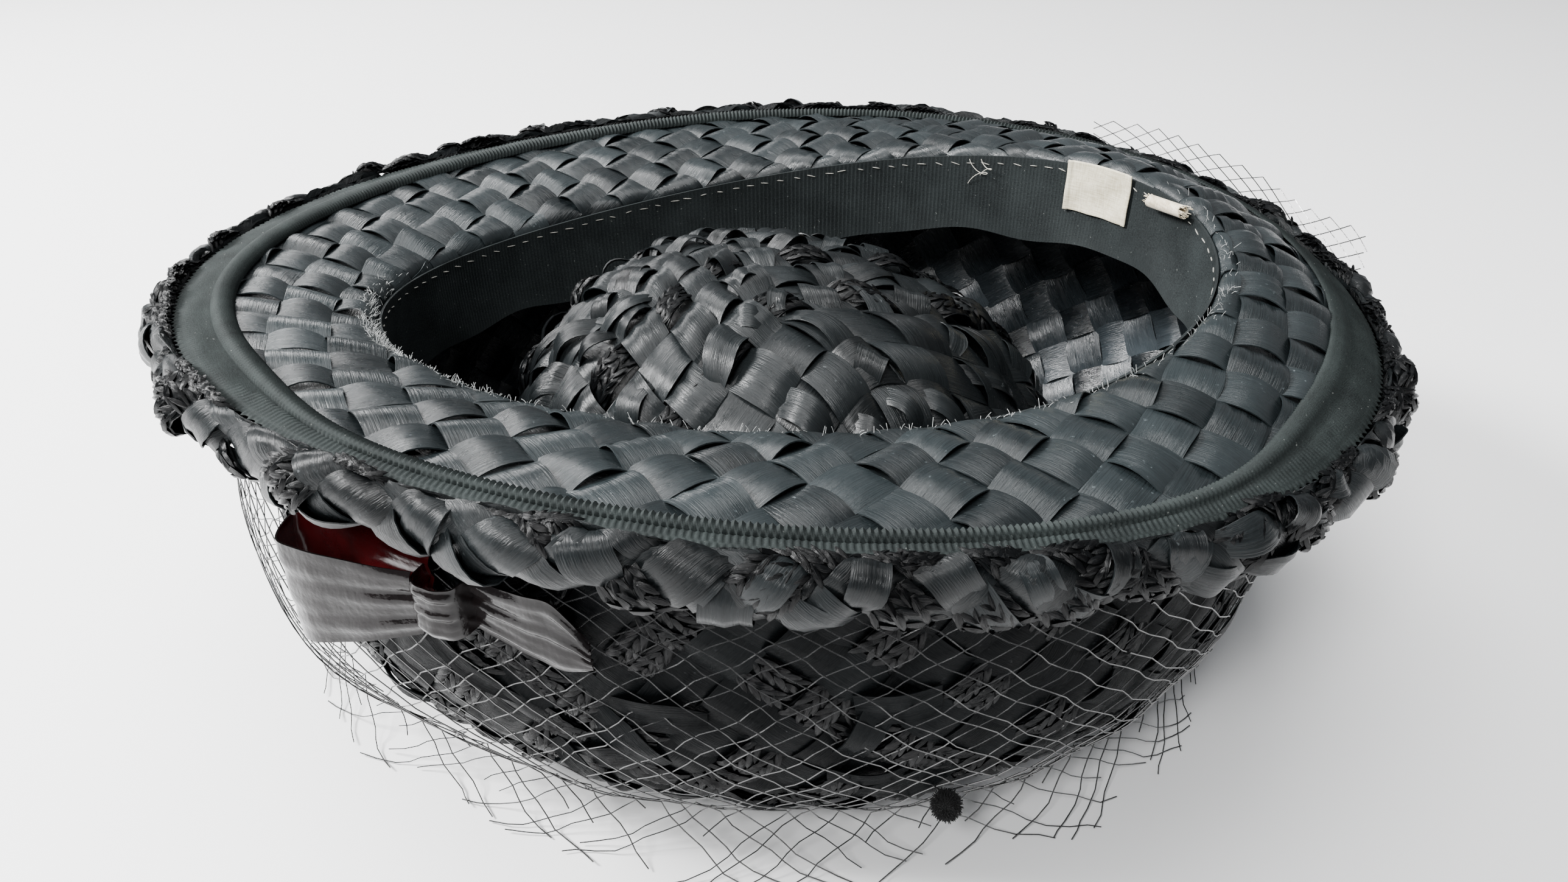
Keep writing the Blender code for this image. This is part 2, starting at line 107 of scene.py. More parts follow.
@dataclass(frozen=True)
class Ring:
    """An oval line round the hat whose height sways."""

    half_x: float
    half_y: float
    centre: tuple[float, float]
    height: float
    sway: tuple[float, float, float, float] = (0.0, 0.0, 0.0, 0.0)

    def out(self, angle: Array) -> Array:
        """The level direction away from the middle at each angle.

        Args:
            angle: Angles in radians.

        Returns:
            Unit vectors.
        """
        x, y = np.cos(angle) / self.half_x, np.sin(angle) / self.half_y
        size = np.hypot(x, y)
        return np.stack([x / size, y / size, np.zeros_like(x)], axis=-1)

    def at(self, angle: Array, out: Array | float = 0.0, up: Array | float = 0.0) -> Array:
        """Points on the ring, moved outwards and up.

        Args:
            angle: Angles in radians.
            out: Distance away from the middle.
            up: Distance up.

        Returns:
            Points, with x, y and z on the last axis.
        """
        angle = np.asarray(angle, float)
        tilt_x, tilt_y, saddle, twist = self.sway
        cos, sin = np.cos(angle), np.sin(angle)
        rise = self.height + tilt_x * cos + tilt_y * sin
        rise = rise + saddle * np.cos(2 * angle) + twist * np.sin(2 * angle)
        x, y = self.centre[0] + self.half_x * cos, self.centre[1] + self.half_y * sin
        level = np.stack([x, y, rise], axis=-1)
        level = level + self.out(angle) * np.asarray(out, float)[..., None]
        level[..., 2] += up
        return level


OPENING = Ring(98.0, 75.5, (1.8, -6.7), 98.0, (7.4, 0.2, 1.1, 4.0))
BOUND = Ring(137.5, 121.5, (0.0, 0.0), 95.0, (-5.6, 0.0, -2.2, 3.8))
FOOT = Ring(80.0, 70.0, (0.0, 0.0), 0.0)
FOOT_INNER = Ring(75.0, 65.0, (0.0, 0.0), 0.0)


@dataclass(frozen=True)
class Dent:
    """A shallow dent in the wall or the mound of the crown."""

    place: str
    angle: float
    width: float
    height: float
    spread: float
    depth: float


@dataclass(frozen=True)
class HatForm:
    """The hat's main surfaces, as the frame has them."""

    facing_bulge: float = 2.5
    facing_roll: float = 2.5
    crown_inset: float = 10.5
    wall_side: float = 1.8
    wall_drop: float = 3.3
    mound_height: float = 90.0
    mound_peak: tuple[float, float] = (-15.0, 14.0)
    mound_side: float = 2.6
    mound_top: float = 2.8
    dent_depth: float = 3.0
    band_height: float = 22.0
    band_below: float = 1.6
    band_wall: float = 1.0
    gap: float = 0.3
    ribbon_width: float = 12.0
    front_slimming: float = 0.56
    dents: tuple[Dent, ...] = (
        Dent("wall", 262.0, 16.0, 0.62, 0.22, 0.85),
        Dent("wall", 300.0, 14.0, 0.45, 0.25, -0.65),
        Dent("wall", 228.0, 13.0, 0.35, 0.25, -0.60),
        Dent("wall", 340.0, 18.0, 0.55, 0.25, 0.75),
        Dent("wall", 40.0, 20.0, 0.50, 0.25, -0.80),
        Dent("wall", 120.0, 22.0, 0.45, 0.25, 0.80),
        Dent("mound", 215.0, 24.0, 0.70, 0.22, 1.00),
        Dent("mound", 285.0, 22.0, 0.80, 0.20, -0.85),
        Dent("mound", 350.0, 26.0, 0.62, 0.24, 1.00),
        Dent("mound", 80.0, 30.0, 0.60, 0.26, -0.85),
    )

    def facing_width(self, angle: Array) -> Array:
        """Plan distance from the opening to the ribbon's outer edge."""
        step = BOUND.at(angle) - OPENING.at(angle)
        return np.hypot(step[..., 0], step[..., 1])

    def facing(self, angle: Array, inset: Array, up: Array | float = 0.0) -> Array:
        """Points on the facing's upper face.

        Args:
            angle: Angles in radians.
            inset: Distance in from the ribbon's outer edge.
            up: Distance above the face.

        Returns:
            Points, with x, y and z on the last axis.
        """
        share = 1.0 - np.asarray(inset, float) / self.facing_width(angle)
        place = OPENING.at(angle) + (BOUND.at(angle) - OPENING.at(angle)) * share[..., None]
        place[..., 2] += self.facing_bulge * np.sin(math.pi * np.clip(share, 0, 1)) + up
        return place

    def facing_skin(self, angle: Array, inset: Array) -> Array:
        """Points on the facing and on its fold down into the opening.

        Args:
            angle: Angles in radians.
            inset: Distance in from the ribbon's outer edge, along the surface.

        Returns:
            Points.
        """
        flat = self.facing_width(angle) - self.facing_roll
        quarter = math.pi / 2 * self.facing_roll
        past = np.maximum(inset - flat, 0.0)
        bend = np.clip(past / quarter, 0, 1) * math.pi / 2
        out = self.facing_roll * (1.0 - np.sin(bend))
        up = -self.facing_roll * (1.0 - np.cos(bend)) - np.maximum(past - quarter, 0.0)
        level = self.facing(angle, np.minimum(inset, flat))
        fold = OPENING.at(angle, out, up)
        lift = (level - OPENING.at(angle, self.facing_roll))[..., 2:3] * np.cos(bend)[..., None]
        fold[..., 2:3] += lift
        return np.where((inset > flat)[..., None], fold, level)

    def dent(self, place: str, angle: Array, height: Array) -> Array:
        """How far the dents push a surface in.

        Args:
            place: "wall" or "mound".
            angle: Angles in radians.
            height: Share of the surface's height.

        Returns:
            Distances in millimetres.
        """
        total = np.zeros(np.broadcast(angle, height).shape)
        for item in self.dents:
            if item.place == place:
                turn = (np.degrees(angle) - item.angle + 180.0) % 360.0 - 180.0
                near = (turn / item.width) ** 2 + ((height - item.height) / item.spread) ** 2
                total = total + item.depth * self.dent_depth * np.exp(-near)
        return total

    def ribbon_share(self, angle: Array) -> Array:
        """Width of the edge ribbon as a share of its full one: it is slim at the front."""
        front = np.degrees(np.abs((angle - math.radians(270.0) + math.pi) % TURN - math.pi))
        return 1.0 - self.front_slimming / (1.0 + np.exp((front - 44.0) / 5.0))

    def wall_top(self, angle: Array) -> Array:
        """Upper end of the crown's outer face, just under the facing.

        Args:
            angle: Angles in radians.

        Returns:
            Points.
        """
        place = BOUND.at(angle, -self.crown_inset)
        level = self.facing(angle, np.full(np.shape(angle), self.crown_inset))
        place[..., 2] = level[..., 2] - 1.8 - 2 * self.gap
        return place

    def wall(self, angle: Array, height: Array, off: Array | float = 0.0) -> Array:
        """Points on the crown's outer wall at a height above the surface.

        Args:
            angle: Angles in radians.
            height: Height above the surface the hat rests on.
            off: Distance off the wall.

        Returns:
            Points, with x, y and z on the last axis.
        """
        angle, height = np.broadcast_arrays(np.asarray(angle, float), np.asarray(height, float))
        top = self.wall_top(angle)
        foot = FOOT.at(angle)
        drop = np.clip(1.0 - height / top[..., 2], 0, 1)
        side = (1.0 - drop**self.wall_drop) ** (1.0 / self.wall_side)
        place = foot + (top - foot) * side[..., None]
        push = off - self.dent("wall", angle, 1.0 - drop) * np.sin(math.pi * drop)
        place = place + BOUND.out(angle) * push[..., None]
        place[..., 2] = height
        return place

    def mound(self, angle: Array, turn: Array) -> Array:
        """Points on the pushed-in top.

        Args:
            angle: Angles in radians.
            turn: From 0 at its foot to a quarter turn at its peak.

        Returns:
            Points.
        """
        side = np.cos(turn) ** (2.0 / self.mound_side)
        rise = np.sin(turn) ** (2.0 / self.mound_top)
        peak = np.array([*self.mound_peak, 0.0])
        place = peak + (FOOT_INNER.at(angle) - peak) * side[..., None]
        place[..., 2] = self.mound_height * rise - self.dent("mound", angle, rise) * np.sin(2 * turn)
        return place

    def band(self, angle: Array, depth: Array, off: Array | float = 0.0) -> Array:
        """Points on the sweatband's inner face.

        Args:
            angle: Angles in radians.
            depth: Share of its height below the rim.
            off: Distance off the face, inwards.

        Returns:
            Points.
        """
        lean = 2.2 * (0.6 + 0.4 * np.cos(3 * np.asarray(angle))) * np.asarray(depth) ** 2
        inward = self.gap + self.band_wall + lean + off
        return OPENING.at(angle, -inward, -self.band_below - self.band_height * np.asarray(depth))


FORM = HatForm()


def arc_table(line: Array) -> Array:
    """Distance along a line of points, from 0 at its first."""
    return np.concatenate([[0.0], np.cumsum(np.linalg.norm(np.diff(line, axis=0), axis=1))])


def grid_faces(rows: int, columns: int) -> Array:
    """Corners of the quads of a grid of points that are listed row by row.

    Args:
        rows: How many rows of points there are.
        columns: How many points each row has.

    Returns:
        Four point numbers for each quad.
    """
    i, j = np.meshgrid(np.arange(rows - 1), np.arange(columns - 1), indexing="ij")
    k = (i * columns + j).ravel()
    return np.stack([k, k + columns, k + columns + 1, k + 1], axis=-1)


class Bench:
    """The operators that every piece is made with."""

    @staticmethod
    def alone(obj: bpy.types.Object) -> None:
        """Make one object the only selected and active one.

        Args:
            obj: The object.
        """
        Bench.clear()
        obj.select_set(True)
        bpy.context.view_layer.objects.active = obj

    @staticmethod
    def clear() -> None:
        """Deselect everything, in object mode."""
        if bpy.context.object and bpy.context.object.mode != "OBJECT":
            bpy.ops.object.mode_set(mode="OBJECT")
        bpy.ops.object.select_all(action="DESELECT")

    @staticmethod
    def points(obj: bpy.types.Object) -> Array:
        """The points of a mesh object, one row each, as its mesh has them.

        Args:
            obj: The object.

        Returns:
            Points.
        """
        points = np.empty(len(obj.data.vertices) * 3)
        obj.data.vertices.foreach_get("co", points)
        return points.reshape(-1, 3)

    @staticmethod
    def move(obj: bpy.types.Object, points: Array) -> None:
        """Move the points of a mesh object.

        Args:
            obj: The object.
            points: New places in millimetres, one row each.
        """
        obj.data.vertices.foreach_set("co", (points * MM).ravel())
        obj.data.update()

    @classmethod
    def mesh(cls, name: str, points: Array, faces: Array) -> bpy.types.Object:
        """A new object from points in millimetres and faces of equal size.

        Args:
            name: The object's name.
            points: Points, one row each.
            faces: Whole numbers, one row a face.

        Returns:
            The linked object, with its place in its mesh.
        """
        data = bpy.data.meshes.new(name)
        flat = np.ascontiguousarray(faces, dtype=np.int32)
        corners = flat.shape[1]
        data.vertices.add(len(points))
        data.vertices.foreach_set("co", (np.asarray(points) * MM).astype(np.float32).ravel())
        data.loops.add(flat.size)
        data.loops.foreach_set("vertex_index", flat.ravel())
        data.polygons.add(len(flat))
        data.polygons.foreach_set("loop_start", np.arange(len(flat), dtype=np.int32) * corners)
        data.update(calc_edges=True)
        data.validate()
        obj = bpy.data.objects.new(name, data)
        bpy.context.scene.collection.objects.link(obj)
        return obj

    @classmethod
    def modify(cls, obj: bpy.types.Object, kind: str, **values: float | str | bool) -> None:
        """Add a modifier with its values and apply it.

        Args:
            obj: The object.
            kind: The modifier's type.
            values: Its settings.
        """
        cls.alone(obj)
        added = obj.modifiers.new(kind.lower(), kind)
        for key, value in values.items():
            setattr(added, key, value)
        bpy.ops.object.modifier_apply(modifier=added.name)

    @classmethod
    def weld(cls, obj: bpy.types.Object, distance: float) -> None:
        """Merge points that lie on each other and drop faces without area.

        Args:
            obj: The object.
            distance: How near in millimetres the merged points are.
        """
        cls.alone(obj)
        bpy.ops.object.mode_set(mode="EDIT")
        bpy.ops.mesh.select_all(action="SELECT")
        bpy.ops.mesh.remove_doubles(threshold=distance * MM)
        bpy.ops.mesh.select_all(action="SELECT")
        bpy.ops.mesh.dissolve_degenerate(threshold=0.01 * MM)
        bpy.ops.object.mode_set(mode="OBJECT")

    @classmethod
    def smooth(cls, obj: bpy.types.Object, degrees: float = 45.0) -> None:
        """Shade a piece smooth but for its sharp edges."""
        cls.alone(obj)
        bpy.ops.object.shade_smooth_by_angle(angle=math.radians(degrees))

    @classmethod
    def apply(cls, obj: bpy.types.Object) -> None:
        """Move an object's place, turn and size into its mesh."""
        cls.alone(obj)
        bpy.ops.object.transform_apply(location=True, rotation=True, scale=True)

    @classmethod
    def copies(cls, name: str, source: bpy.types.Object, places: list[Matrix]) -> bpy.types.Object:
        """Join copies of a small piece into one, each with its own mesh.

        Args:
            name: Name of the joined piece.
            source: The piece to copy, which is removed.
            places: A matrix in metres for each copy.

        Returns:
            The joined object.
        """
        count = len(source.data.vertices)
        points = np.c_[cls.points(source), np.ones(count)]
        source.data.calc_loop_triangles()
        faces = np.empty(len(source.data.loop_triangles) * 3, dtype=np.int32)
        source.data.loop_triangles.foreach_get("vertices", faces)
        faces = faces.reshape(-1, 3)
        stack = [points @ np.array(place).T[:, :3] for place in places]
        lists = [faces + count * i for i in range(len(places))]
        bpy.data.objects.remove(source, do_unlink=True)
        return cls.mesh(name, np.concatenate(stack) / MM, np.concatenate(lists))

    @classmethod
    def tubes(cls, name: str, lines: list[Array], radius: float, resolution: int = 0) -> bpy.types.Object:
        """Round strands along lines of points, capped and joined as one mesh.

        Args:
            name: Name of the piece.
            lines: A line of points in millimetres for each strand.
            radius: Radius of a strand in millimetres.
            resolution: How round a strand is.

        Returns:
            The mesh object.
        """
        curve = bpy.data.curves.new(name, "CURVE")
        curve.dimensions = "3D"
        curve.bevel_depth = radius * MM
        curve.bevel_resolution = resolution
        curve.use_fill_caps = True
        for line in lines:
            spline = curve.splines.new("POLY")
            spline.points.add(len(line) - 1)
            spline.points.foreach_set("co", np.c_[np.asarray(line) * MM, np.ones(len(line))].ravel())
        obj = bpy.data.objects.new(name, curve)
        bpy.context.scene.collection.objects.link(obj)
        cls.alone(obj)
        bpy.ops.object.convert(target="MESH")
        return bpy.context.object

    @classmethod
    def dress(cls, obj: bpy.types.Object, finish: bpy.types.Material, slot: Slot, *nodes: str) -> None:
        """Give a piece its finish and its body, and hide the frame's nodes that it stands for.

        Args:
            obj: The piece.
            finish: Its material, unless it has some already.
            slot: Not used.
            nodes: The nodes that it takes the place of.
        """
        if not obj.data.materials:
            obj.data.materials.append(finish)
        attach(obj, "root")
        if nodes:
            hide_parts(*nodes)
        LOG.info("%s: %d faces", obj.name, len(obj.data.polygons))


class Graph:
    """A material's node tree, with short calls to fill it."""

    def __init__(self, name: str) -> None:
        """Start a material with an empty Principled shader.

        Args:
            name: The material's name.
        """
        self.material = bpy.data.materials.new(name)
        self.material.use_nodes = True
        self.tree = self.material.node_tree
        self.shader = self.tree.nodes["Principled BSDF"]

    def set(self, **values: float | tuple[float, ...]) -> None:
        """Set the shader's own sockets, with spaces for underscores."""
        for key, value in values.items():
            self.shader.inputs[key.replace("_", " ")].default_value = value

    def add(self, kind: str, settings: dict[str, object] | None = None, **values: object) -> bpy.types.Node:
        """Add a node.

        Args:
            kind: The node's type.
            settings: Its own settings.
            values: Values of its inputs, with underscores for spaces.

        Returns:
            The node.
        """
        node = self.tree.nodes.new(kind)
        for key, value in (settings or {}).items():
            setattr(node, key, value)
        for key, value in values.items():
            node.inputs[key.replace("_", " ")].default_value = value
        return node

    def join(self, start: Socket, end: Socket) -> None:
        """Link an output to an input."""
        self.tree.links.new(start, end)

    def noise(self, source: Socket, scale: tuple[float, float, float], detail: float, rough: float) -> Socket:
        """Noise on scaled coordinates.

        Args:
            source: The coordinates.
            scale: Their scale on each axis.
            detail: How many finer layers are added.
            rough: How strong those are.

        Returns:
            The noise, about 0.5.
        """
        mapping = self.add("ShaderNodeMapping")
        mapping.inputs["Scale"].default_value = scale
        self.join(source, mapping.inputs["Vector"])
        node = self.add("ShaderNodeTexNoise", Scale=1.0, Detail=detail, Roughness=rough)
        self.join(mapping.outputs["Vector"], node.inputs["Vector"])
        return node.outputs["Fac"]

    def span(self, source: Socket, low: float, high: float, to_low: float, to_high: float) -> Socket:
        """Map a value from one range to another, held at its ends.

        Args:
            source: The value.
            low: Start of its range.
            high: End of its range.
            to_low: Start of the new range.
            to_high: End of the new range.

        Returns:
            The mapped value.
        """
        node = self.add("ShaderNodeMapRange", From_Min=low, From_Max=high, To_Min=to_low, To_Max=to_high)
        self.join(source, node.inputs["Value"])
        return node.outputs["Result"]

    def blend(self, factor: Socket, dark: Colour | Socket, light: Colour) -> Socket:
        """Mix two colours by a factor.

        Args:
            factor: From 0 for the dark to 1 for the light colour.
            dark: The first colour.
            light: The second colour.

        Returns:
            The mixed colour.
        """
        node = self.add("ShaderNodeMix", {"data_type": "RGBA"})
        self.join(factor, node.inputs["Factor"])
        if isinstance(dark, tuple):
            node.inputs[MIX_A].default_value = (*dark, 1.0)
        else:
            self.join(dark, node.inputs[MIX_A])
        node.inputs[MIX_B].default_value = (*light, 1.0)
        return node.outputs[MIX_RESULT]

    def paint(self, colour: Socket) -> None:
        """Make a colour the shader's base colour."""
        self.join(colour, self.shader.inputs["Base Color"])

    def math(self, kind: str, first: Socket, second: Socket | float) -> Socket:
        """One step of arithmetic.

        Args:
            kind: The operation.
            first: Its first value.
            second: Its second value.

        Returns:
            The result.
        """
        node = self.add("ShaderNodeMath", {"operation": kind})
        self.join(first, node.inputs[0])
        if isinstance(second, float):
            node.inputs[1].default_value = second
        else:
            self.join(second, node.inputs[1])
        return node.outputs[0]

    def bump(self, height: Socket, distance: float, strength: float) -> None:
        """Raise the surface by a height map.

        Args:
            height: The map.
            distance: Height in metres of a step of 1 in it.
            strength: Share of the effect.
        """
        node = self.add("ShaderNodeBump", Strength=strength, Distance=distance)
        self.join(height, node.inputs["Height"])
        self.join(node.outputs["Normal"], self.shader.inputs["Normal"])


@dataclass(frozen=True)
class RaffiaFinish:
    """Dyed paper-like raffia: long fibres, a satin shine and pale scuffs."""

    name: str
    dark: Colour
    light: Colour
    rough: float = 0.42
    scuff: float = 0.5
    specular: float = 0.4

    def make(self) -> bpy.types.Material:
        """Build the material on the piece's own strip coordinates.

        Returns:
            The material.
        """
        graph = Graph(self.name)
        strips = graph.add("ShaderNodeUVMap", {"uv_map": "strips"}).outputs["UV"]
        place = graph.add("ShaderNodeTexCoord").outputs["Object"]
        shade = graph.add("ShaderNodeAttribute", {"attribute_name": "shade"}).outputs["Fac"]
        fibre = graph.noise(strips, (1.2, 34.0, 1.0), 4.0, 0.62)
        crease = graph.noise(strips, (2.2, 5.0, 1.0), 3.0, 0.5)
        patch = graph.noise(place, (75.0, 75.0, 75.0), 3.0, 0.6)
        speck = graph.noise(place, (900.0, 900.0, 900.0), 2.0, 0.5)
        tone = graph.math("ADD", graph.span(fibre, 0.25, 0.75, -0.30, 0.30), shade)
        tone = graph.math("ADD", tone, graph.span(patch, 0.35, 0.7, -0.12, 0.22))
        colour = graph.blend(tone, self.dark, self.light)
        dust = graph.span(speck, 0.68, 0.80, 0.0, 1.0)
        dust = graph.math("MULTIPLY", dust, graph.span(patch, 0.45, 0.62, 0.0, self.scuff))
        pale = tuple(min(1.0, 5.0 * part + 0.05) for part in self.light)
        graph.paint(graph.blend(dust, colour, pale))
        rough = graph.span(crease, 0.3, 0.7, self.rough - 0.10, self.rough + 0.10)
        graph.join(rough, graph.shader.inputs["Roughness"])
        height = graph.math("ADD", fibre, graph.math("MULTIPLY", crease, 1.3))
        graph.bump(height, 0.00024, 0.7)
        graph.set(Specular_IOR_Level=self.specular)
        return graph.material


@dataclass(frozen=True)
class GrosgrainFinish:
    """Ribbed matte ribbon with fine threads across its ribs."""

    name: str
    dark: Colour
    light: Colour
    rough: float = 0.78
    lint: Colour = (0.16, 0.17, 0.16)

    def make(self) -> bpy.types.Material:
        """Build the material on the ribbon's own coordinates.

        Returns:
            The material.
        """
        graph = Graph(self.name)
        strips = graph.add("ShaderNodeUVMap", {"uv_map": "strips"}).outputs["UV"]
        place = graph.add("ShaderNodeTexCoord").outputs["Object"]
        thread = graph.noise(strips, (24.0, 90.0, 1.0), 2.0, 0.5)
        patch = graph.noise(place, (90.0, 90.0, 90.0), 3.0, 0.6)
        speck = graph.noise(place, (1400.0, 1400.0, 1400.0), 1.0, 0.5)
        tone = graph.span(thread, 0.3, 0.7, 0.1, 0.75)
        tone = graph.math("ADD", tone, graph.span(patch, 0.35, 0.7, -0.2, 0.25))
        colour = graph.blend(tone, self.dark, self.light)
        dust = graph.span(speck, 0.74, 0.82, 0.0, 0.55)
        graph.paint(graph.blend(dust, colour, self.lint))
        graph.bump(thread, 0.00008, 0.6)
        graph.set(Roughness=self.rough, Specular_IOR_Level=0.22)
        return graph.material


@dataclass(frozen=True)
class ClothFinish:
    """Plain woven cloth, with its warp and weft seen close to."""

    name: str
    dark: Colour
    light: Colour
    rough: float = 0.6
    threads: float = 5200.0

    def make(self) -> bpy.types.Material:
        """Build the material on object coordinates.

        Returns:
            The material.
        """
        graph = Graph(self.name)
        place = graph.add("ShaderNodeTexCoord").outputs["Object"]
        across = graph.noise(place, (self.threads, self.threads, 300.0), 1.0, 0.4)
        down = graph.noise(place, (300.0, 300.0, self.threads), 1.0, 0.4)
        weave = graph.math("ADD", across, down)
        patch = graph.noise(place, (160.0, 160.0, 160.0), 3.0, 0.6)
        tone = graph.span(weave, 0.7, 1.3, 0.1, 0.8)
        tone = graph.math("ADD", tone, graph.span(patch, 0.3, 0.7, -0.25, 0.25))
        graph.paint(graph.blend(tone, self.dark, self.light))
        graph.bump(weave, 0.00006, 0.6)
        graph.set(Roughness=self.rough, Specular_IOR_Level=0.4, Sheen_Weight=0.2)
        return graph.material


@dataclass(frozen=True)
class GlossFinish:
    """Glossy ribbon, net thread or chenille: near black with a broken shine."""

    name: str
    dark: Colour
    light: Colour
    rough: float
    grain: float
    bump: float
    specular: float = 0.6

    def make(self) -> bpy.types.Material:
        """Build the material on object coordinates.

        Returns:
            The material.
        """
        graph = Graph(self.name)
        place = graph.add("ShaderNodeTexCoord").outputs["Object"]
        wrinkle = graph.noise(place, (self.grain, self.grain, self.grain * 0.5), 4.0, 0.55)
        fine = graph.noise(place, (self.grain * 9, self.grain * 9, self.grain * 9), 2.0, 0.5)
        graph.paint(graph.blend(graph.span(wrinkle, 0.3, 0.7, 0.0, 1.0), self.dark, self.light))
        rough = graph.span(fine, 0.3, 0.7, self.rough * 0.75, self.rough * 1.35)
        graph.join(rough, graph.shader.inputs["Roughness"])
        graph.bump(graph.math("ADD", wrinkle, graph.math("MULTIPLY", fine, 0.12)), self.bump, 0.8)
        graph.set(Specular_IOR_Level=self.specular)
        return graph.material


class Finishes:
    """Every finish of the hat, each made once."""

    def __init__(self) -> None:
        """Make the materials."""
        # Painted light: the crown wall's inner face is the same black raffia, coloured far lighter as if lit
        # through the opening.
        self.inside = RaffiaFinish(
            "inside_raffia_painted_light", (0.006, 0.008, 0.0095), (0.050, 0.062, 0.070), 0.26, 0.3, 0.7
        ).make()
        self.tip = RaffiaFinish(
            "tip_raffia", (0.002, 0.0024, 0.0027), (0.011, 0.0133, 0.0142), 0.29, 0.5, 0.22
        ).make()
        # Painted shade: the crown wall's outer raffia is coloured near black, darker than the same raffia on
        # the facing, for the brim's shadow over the wall.
        self.crown = RaffiaFinish(
            "crown_raffia_painted_shade", (0.0010, 0.0012, 0.0014), (0.0042, 0.005, 0.0054), 0.26, 0.5, 0.03
        ).make()
        self.facing = RaffiaFinish(
            "brim_raffia", (0.003, 0.0042, 0.0047), (0.0175, 0.0228, 0.0246), 0.29, 0.7, 0.34
        ).make()
        self.braid = RaffiaFinish(
            "edge_raffia", (0.0015, 0.0018, 0.002), (0.011, 0.0133, 0.0142), 0.29, 0.5, 0.18
        ).make()
        self.stitch = RaffiaFinish(
            "knitted_raffia", (0.001, 0.001, 0.0012), (0.0042, 0.0048, 0.0052), 0.22, 0.3, 0.13
        ).make()
        self.edge = GrosgrainFinish("edge_ribbon_cloth", (0.004, 0.006, 0.006), (0.022, 0.029, 0.028)).make()
        self.band = GrosgrainFinish(
            "sweatband_cloth", (0.004, 0.0056, 0.006), (0.020, 0.025, 0.0255), 0.62
        ).make()
        self.label = ClothFinish("label_satin", (0.42, 0.37, 0.25), (0.80, 0.75, 0.58), 0.5).make()
        self.tag = ClothFinish("tag_tape", (0.40, 0.33, 0.22), (0.78, 0.70, 0.55), 0.8, 2600.0).make()
        self.thread = ClothFinish("sewing_thread", (0.30, 0.29, 0.25), (0.62, 0.60, 0.52), 0.7, 3800.0).make()
        self.sewing = ClothFinish("stitch_thread", (0.15, 0.15, 0.135), (0.36, 0.35, 0.31), 0.8, 3800.0).make()
        self.bow = GlossFinish(
            "bow_satin", (0.002, 0.0016, 0.0016), (0.007, 0.005, 0.005), 0.15, 90.0, 0.0009, 0.24
        ).make()
        self.bow_inside = GlossFinish(
            "bow_inner_satin", (0.008, 0.001, 0.001), (0.045, 0.003, 0.004), 0.2, 90.0, 0.0005, 0.15
        ).make()
        self.net = GlossFinish(
            "net_thread", (0.005, 0.005, 0.005), (0.026, 0.026, 0.026), 0.22, 900.0, 0.0001, 1.0
        ).make()
        self.chenille = GlossFinish(
            "chenille_pile", (0.004, 0.004, 0.004), (0.014, 0.014, 0.014), 0.8, 900.0, 0.0002, 0.3
        ).make()
        self.fray = ClothFinish("raffia_fibre", (0.16, 0.17, 0.17), (0.42, 0.43, 0.42), 0.6, 1500.0).make()


